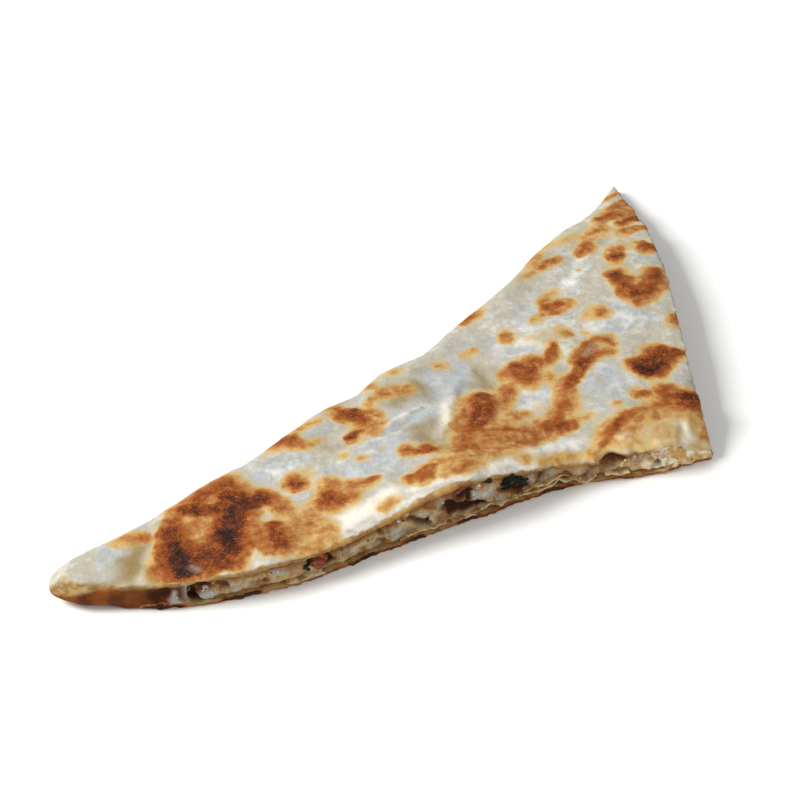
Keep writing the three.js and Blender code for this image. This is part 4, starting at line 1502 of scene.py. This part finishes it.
def filling_finish():
    finish = Finish(
        "potato filling",
        Subsurface_Weight=0.12,
        Subsurface_Radius=(1.0, 0.7, 0.4),
        Subsurface_Scale=0.0010,
        Specular_IOR_Level=0.2,
    )
    field = finish.attribute
    patch = finish.noise(3.0, 3.0, 0.6)
    grain = finish.noise(0.8, 4.0, 0.65)
    broad = finish.noise(5.5, 2.0)
    loaf = finish.mix(broad.step(0.42, 0.58), (206, 164, 102), (238, 224, 194))
    mash = finish.coated(
        finish.mix(broad.step(0.44, 0.58), (188, 162, 114), (150, 104, 50)),
        (patch.step(0.50, 0.66) * 0.6, (212, 190, 144)),
        (field("bready"), loaf),
        ((1.0 - patch).step(0.54, 0.70) * 0.6, (138, 84, 34)),
        (grain.step(0.52, 0.68) * 0.45, (212, 194, 156)),
        ((1.0 - grain).step(0.54, 0.70) * 0.4, (120, 72, 30)),
        # golden brown under the leaf, partly painted shade
        (field("golden"), (138, 90, 38)),
        (field("pale") * 0.85, (166, 168, 160)),
        ((field("juice") + (patch - 0.5) * 0.8).step(0.1, 1.0), (94, 44, 12)),
        # painted shade: the hollows and the shade between the lumps are coloured near black
        (field("hollow").step(0.05, 0.8), (56, 20, 4)),
    )
    return finish.surface(mash, 0.45 + grain * 0.25, finish.bump(grain, distance_mm=0.5, strength=0.8))


def layer_finish():
    finish = Finish(
        "thin dough layer", Subsurface_Weight=0.1, Subsurface_Scale=0.001, Specular_IOR_Level=0.3
    )
    patch, colour = finish.patchy(2.5, 0.42, 0.62, (212, 188, 142), (160, 118, 68))
    return finish.surface(colour, 0.5 + patch * 0.2, finish.bump(patch, 0.4, 0.5))


def crumb_finish():
    finish = Finish(
        "potato crumb", Subsurface_Weight=0.1, Subsurface_Scale=0.001, Specular_IOR_Level=0.35
    )
    patch, colour = finish.patchy(1.6, 0.38, 0.62, (204, 176, 124), (152, 106, 52))
    return finish.surface(colour, 0.45 + patch * 0.25, finish.bump(finish.noise(0.5), 0.25, 0.6))


def curd_finish():
    finish = Finish("curd", Subsurface_Weight=0.2, Subsurface_Scale=0.001, Specular_IOR_Level=0.45)
    patch, colour = finish.patchy(1.8, 0.40, 0.65, (196, 192, 176), (164, 150, 122))
    return finish.surface(colour, 0.36 + patch * 0.2, finish.bump(finish.noise(0.6), 0.25, 0.5))


def herb_finish():
    finish = Finish("herb", Specular_IOR_Level=0.2)
    patch, colour = finish.patchy(0.9, 0.45, 0.65, (8, 12, 8), (32, 46, 20))
    return finish.surface(colour, 0.5 + patch * 0.2, finish.bump(patch, 0.1, 0.5))


def pepper_finish():
    finish = Finish("pepper flake", Specular_IOR_Level=0.45)
    patch, colour = finish.patchy(0.9, 0.42, 0.62, (160, 68, 16), (108, 40, 8))
    return finish.surface(colour, 0.34 + patch * 0.2, finish.bump(patch, 0.1, 0.5))


# ---------------------------------------------------------------- stage


def make_stage():
    bpy.ops.object.select_all(action="DESELECT")
    bpy.ops.mesh.primitive_plane_add(size=6.0, location=(0, 0, 0))
    floor = bpy.context.active_object
    floor.name = "floor"
    finish = Finish("pale floor", Base_Color=linear(248, 248, 246), Roughness=0.8)
    floor.data.materials.append(finish.material)


def area_light(name, place, size, watts, colour):
    """A square lamp that looks at the origin."""
    light = bpy.data.lights.new(name, "AREA")
    light.size = size
    light.energy = watts
    light.color = colour
    lamp = bpy.data.objects.new(name, light)
    lamp.location = place
    lamp.rotation_euler = (-Vector(place)).to_track_quat("-Z", "Y").to_euler()
    bpy.context.scene.collection.objects.link(lamp)


def make_light():
    world = bpy.data.worlds.new("studio")
    world.use_nodes = True
    sky = world.node_tree.nodes["Background"]
    sky.inputs["Color"].default_value = (0.92, 0.95, 1.0, 1.0)
    sky.inputs["Strength"].default_value = 0.42
    bpy.context.scene.world = world
    area_light("key", (-1.00, 0.15, 0.80), size=0.55, watts=21.0, colour=(1.0, 0.99, 0.97))
    area_light("fill", (0.30, -0.9, 0.8), size=0.9, watts=4.0, colour=(1.0, 0.95, 0.88))
    bpy.context.scene.view_settings.view_transform = "Standard"


def make_camera():
    turn, tilt = math.radians(CAMERA_AZIMUTH), math.radians(CAMERA_ELEVATION)
    back = Vector((math.sin(turn) * math.cos(tilt), -math.cos(turn) * math.cos(tilt), math.sin(tilt)))
    data = bpy.data.cameras.new("camera")
    data.lens = CAMERA_LENS_MM
    data.sensor_width = CAMERA_SENSOR_MM
    data.clip_start = 0.01
    camera = bpy.data.objects.new("camera", data)
    camera.location = (Vector(CAMERA_AIM_MM) + back * CAMERA_DISTANCE_MM) * MM
    level = (-back).to_track_quat("-Z", "Y").to_matrix()
    camera.rotation_euler = (level @ Matrix.Rotation(math.radians(CAMERA_ROLL), 3, "Z")).to_euler()
    bpy.context.scene.collection.objects.link(camera)
    bpy.context.scene.camera = camera


# ---------------------------------------------------------------- the scene


def dress(piece, material, slot, *nodes):
    """Gives a piece its finish and its body, and hides the solids that it stands for. The slot is not used.
    """
    piece.data.materials.clear()
    piece.data.materials.append(material)
    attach(piece, "root")
    if nodes:
        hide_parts(*nodes)


make_camera()
make_light()
make_stage()
dough = make_dough()
filling = make_filling()
faces = CutFaces(dough, filling)
dress(dough, dough_finish(), "griddled_dough", DOUGH_NODE)
dress(filling, filling_finish(), "filling", FILLING_NODE)
dress(make_layers(), layer_finish(), "griddled_dough")
dress(make_crumbs(faces), crumb_finish(), "filling")
dress(make_curds(faces), curd_finish(), "curd")
dress(make_herbs(faces), herb_finish(), "herb")
dress(make_pepper(faces), pepper_finish(), "pepper")
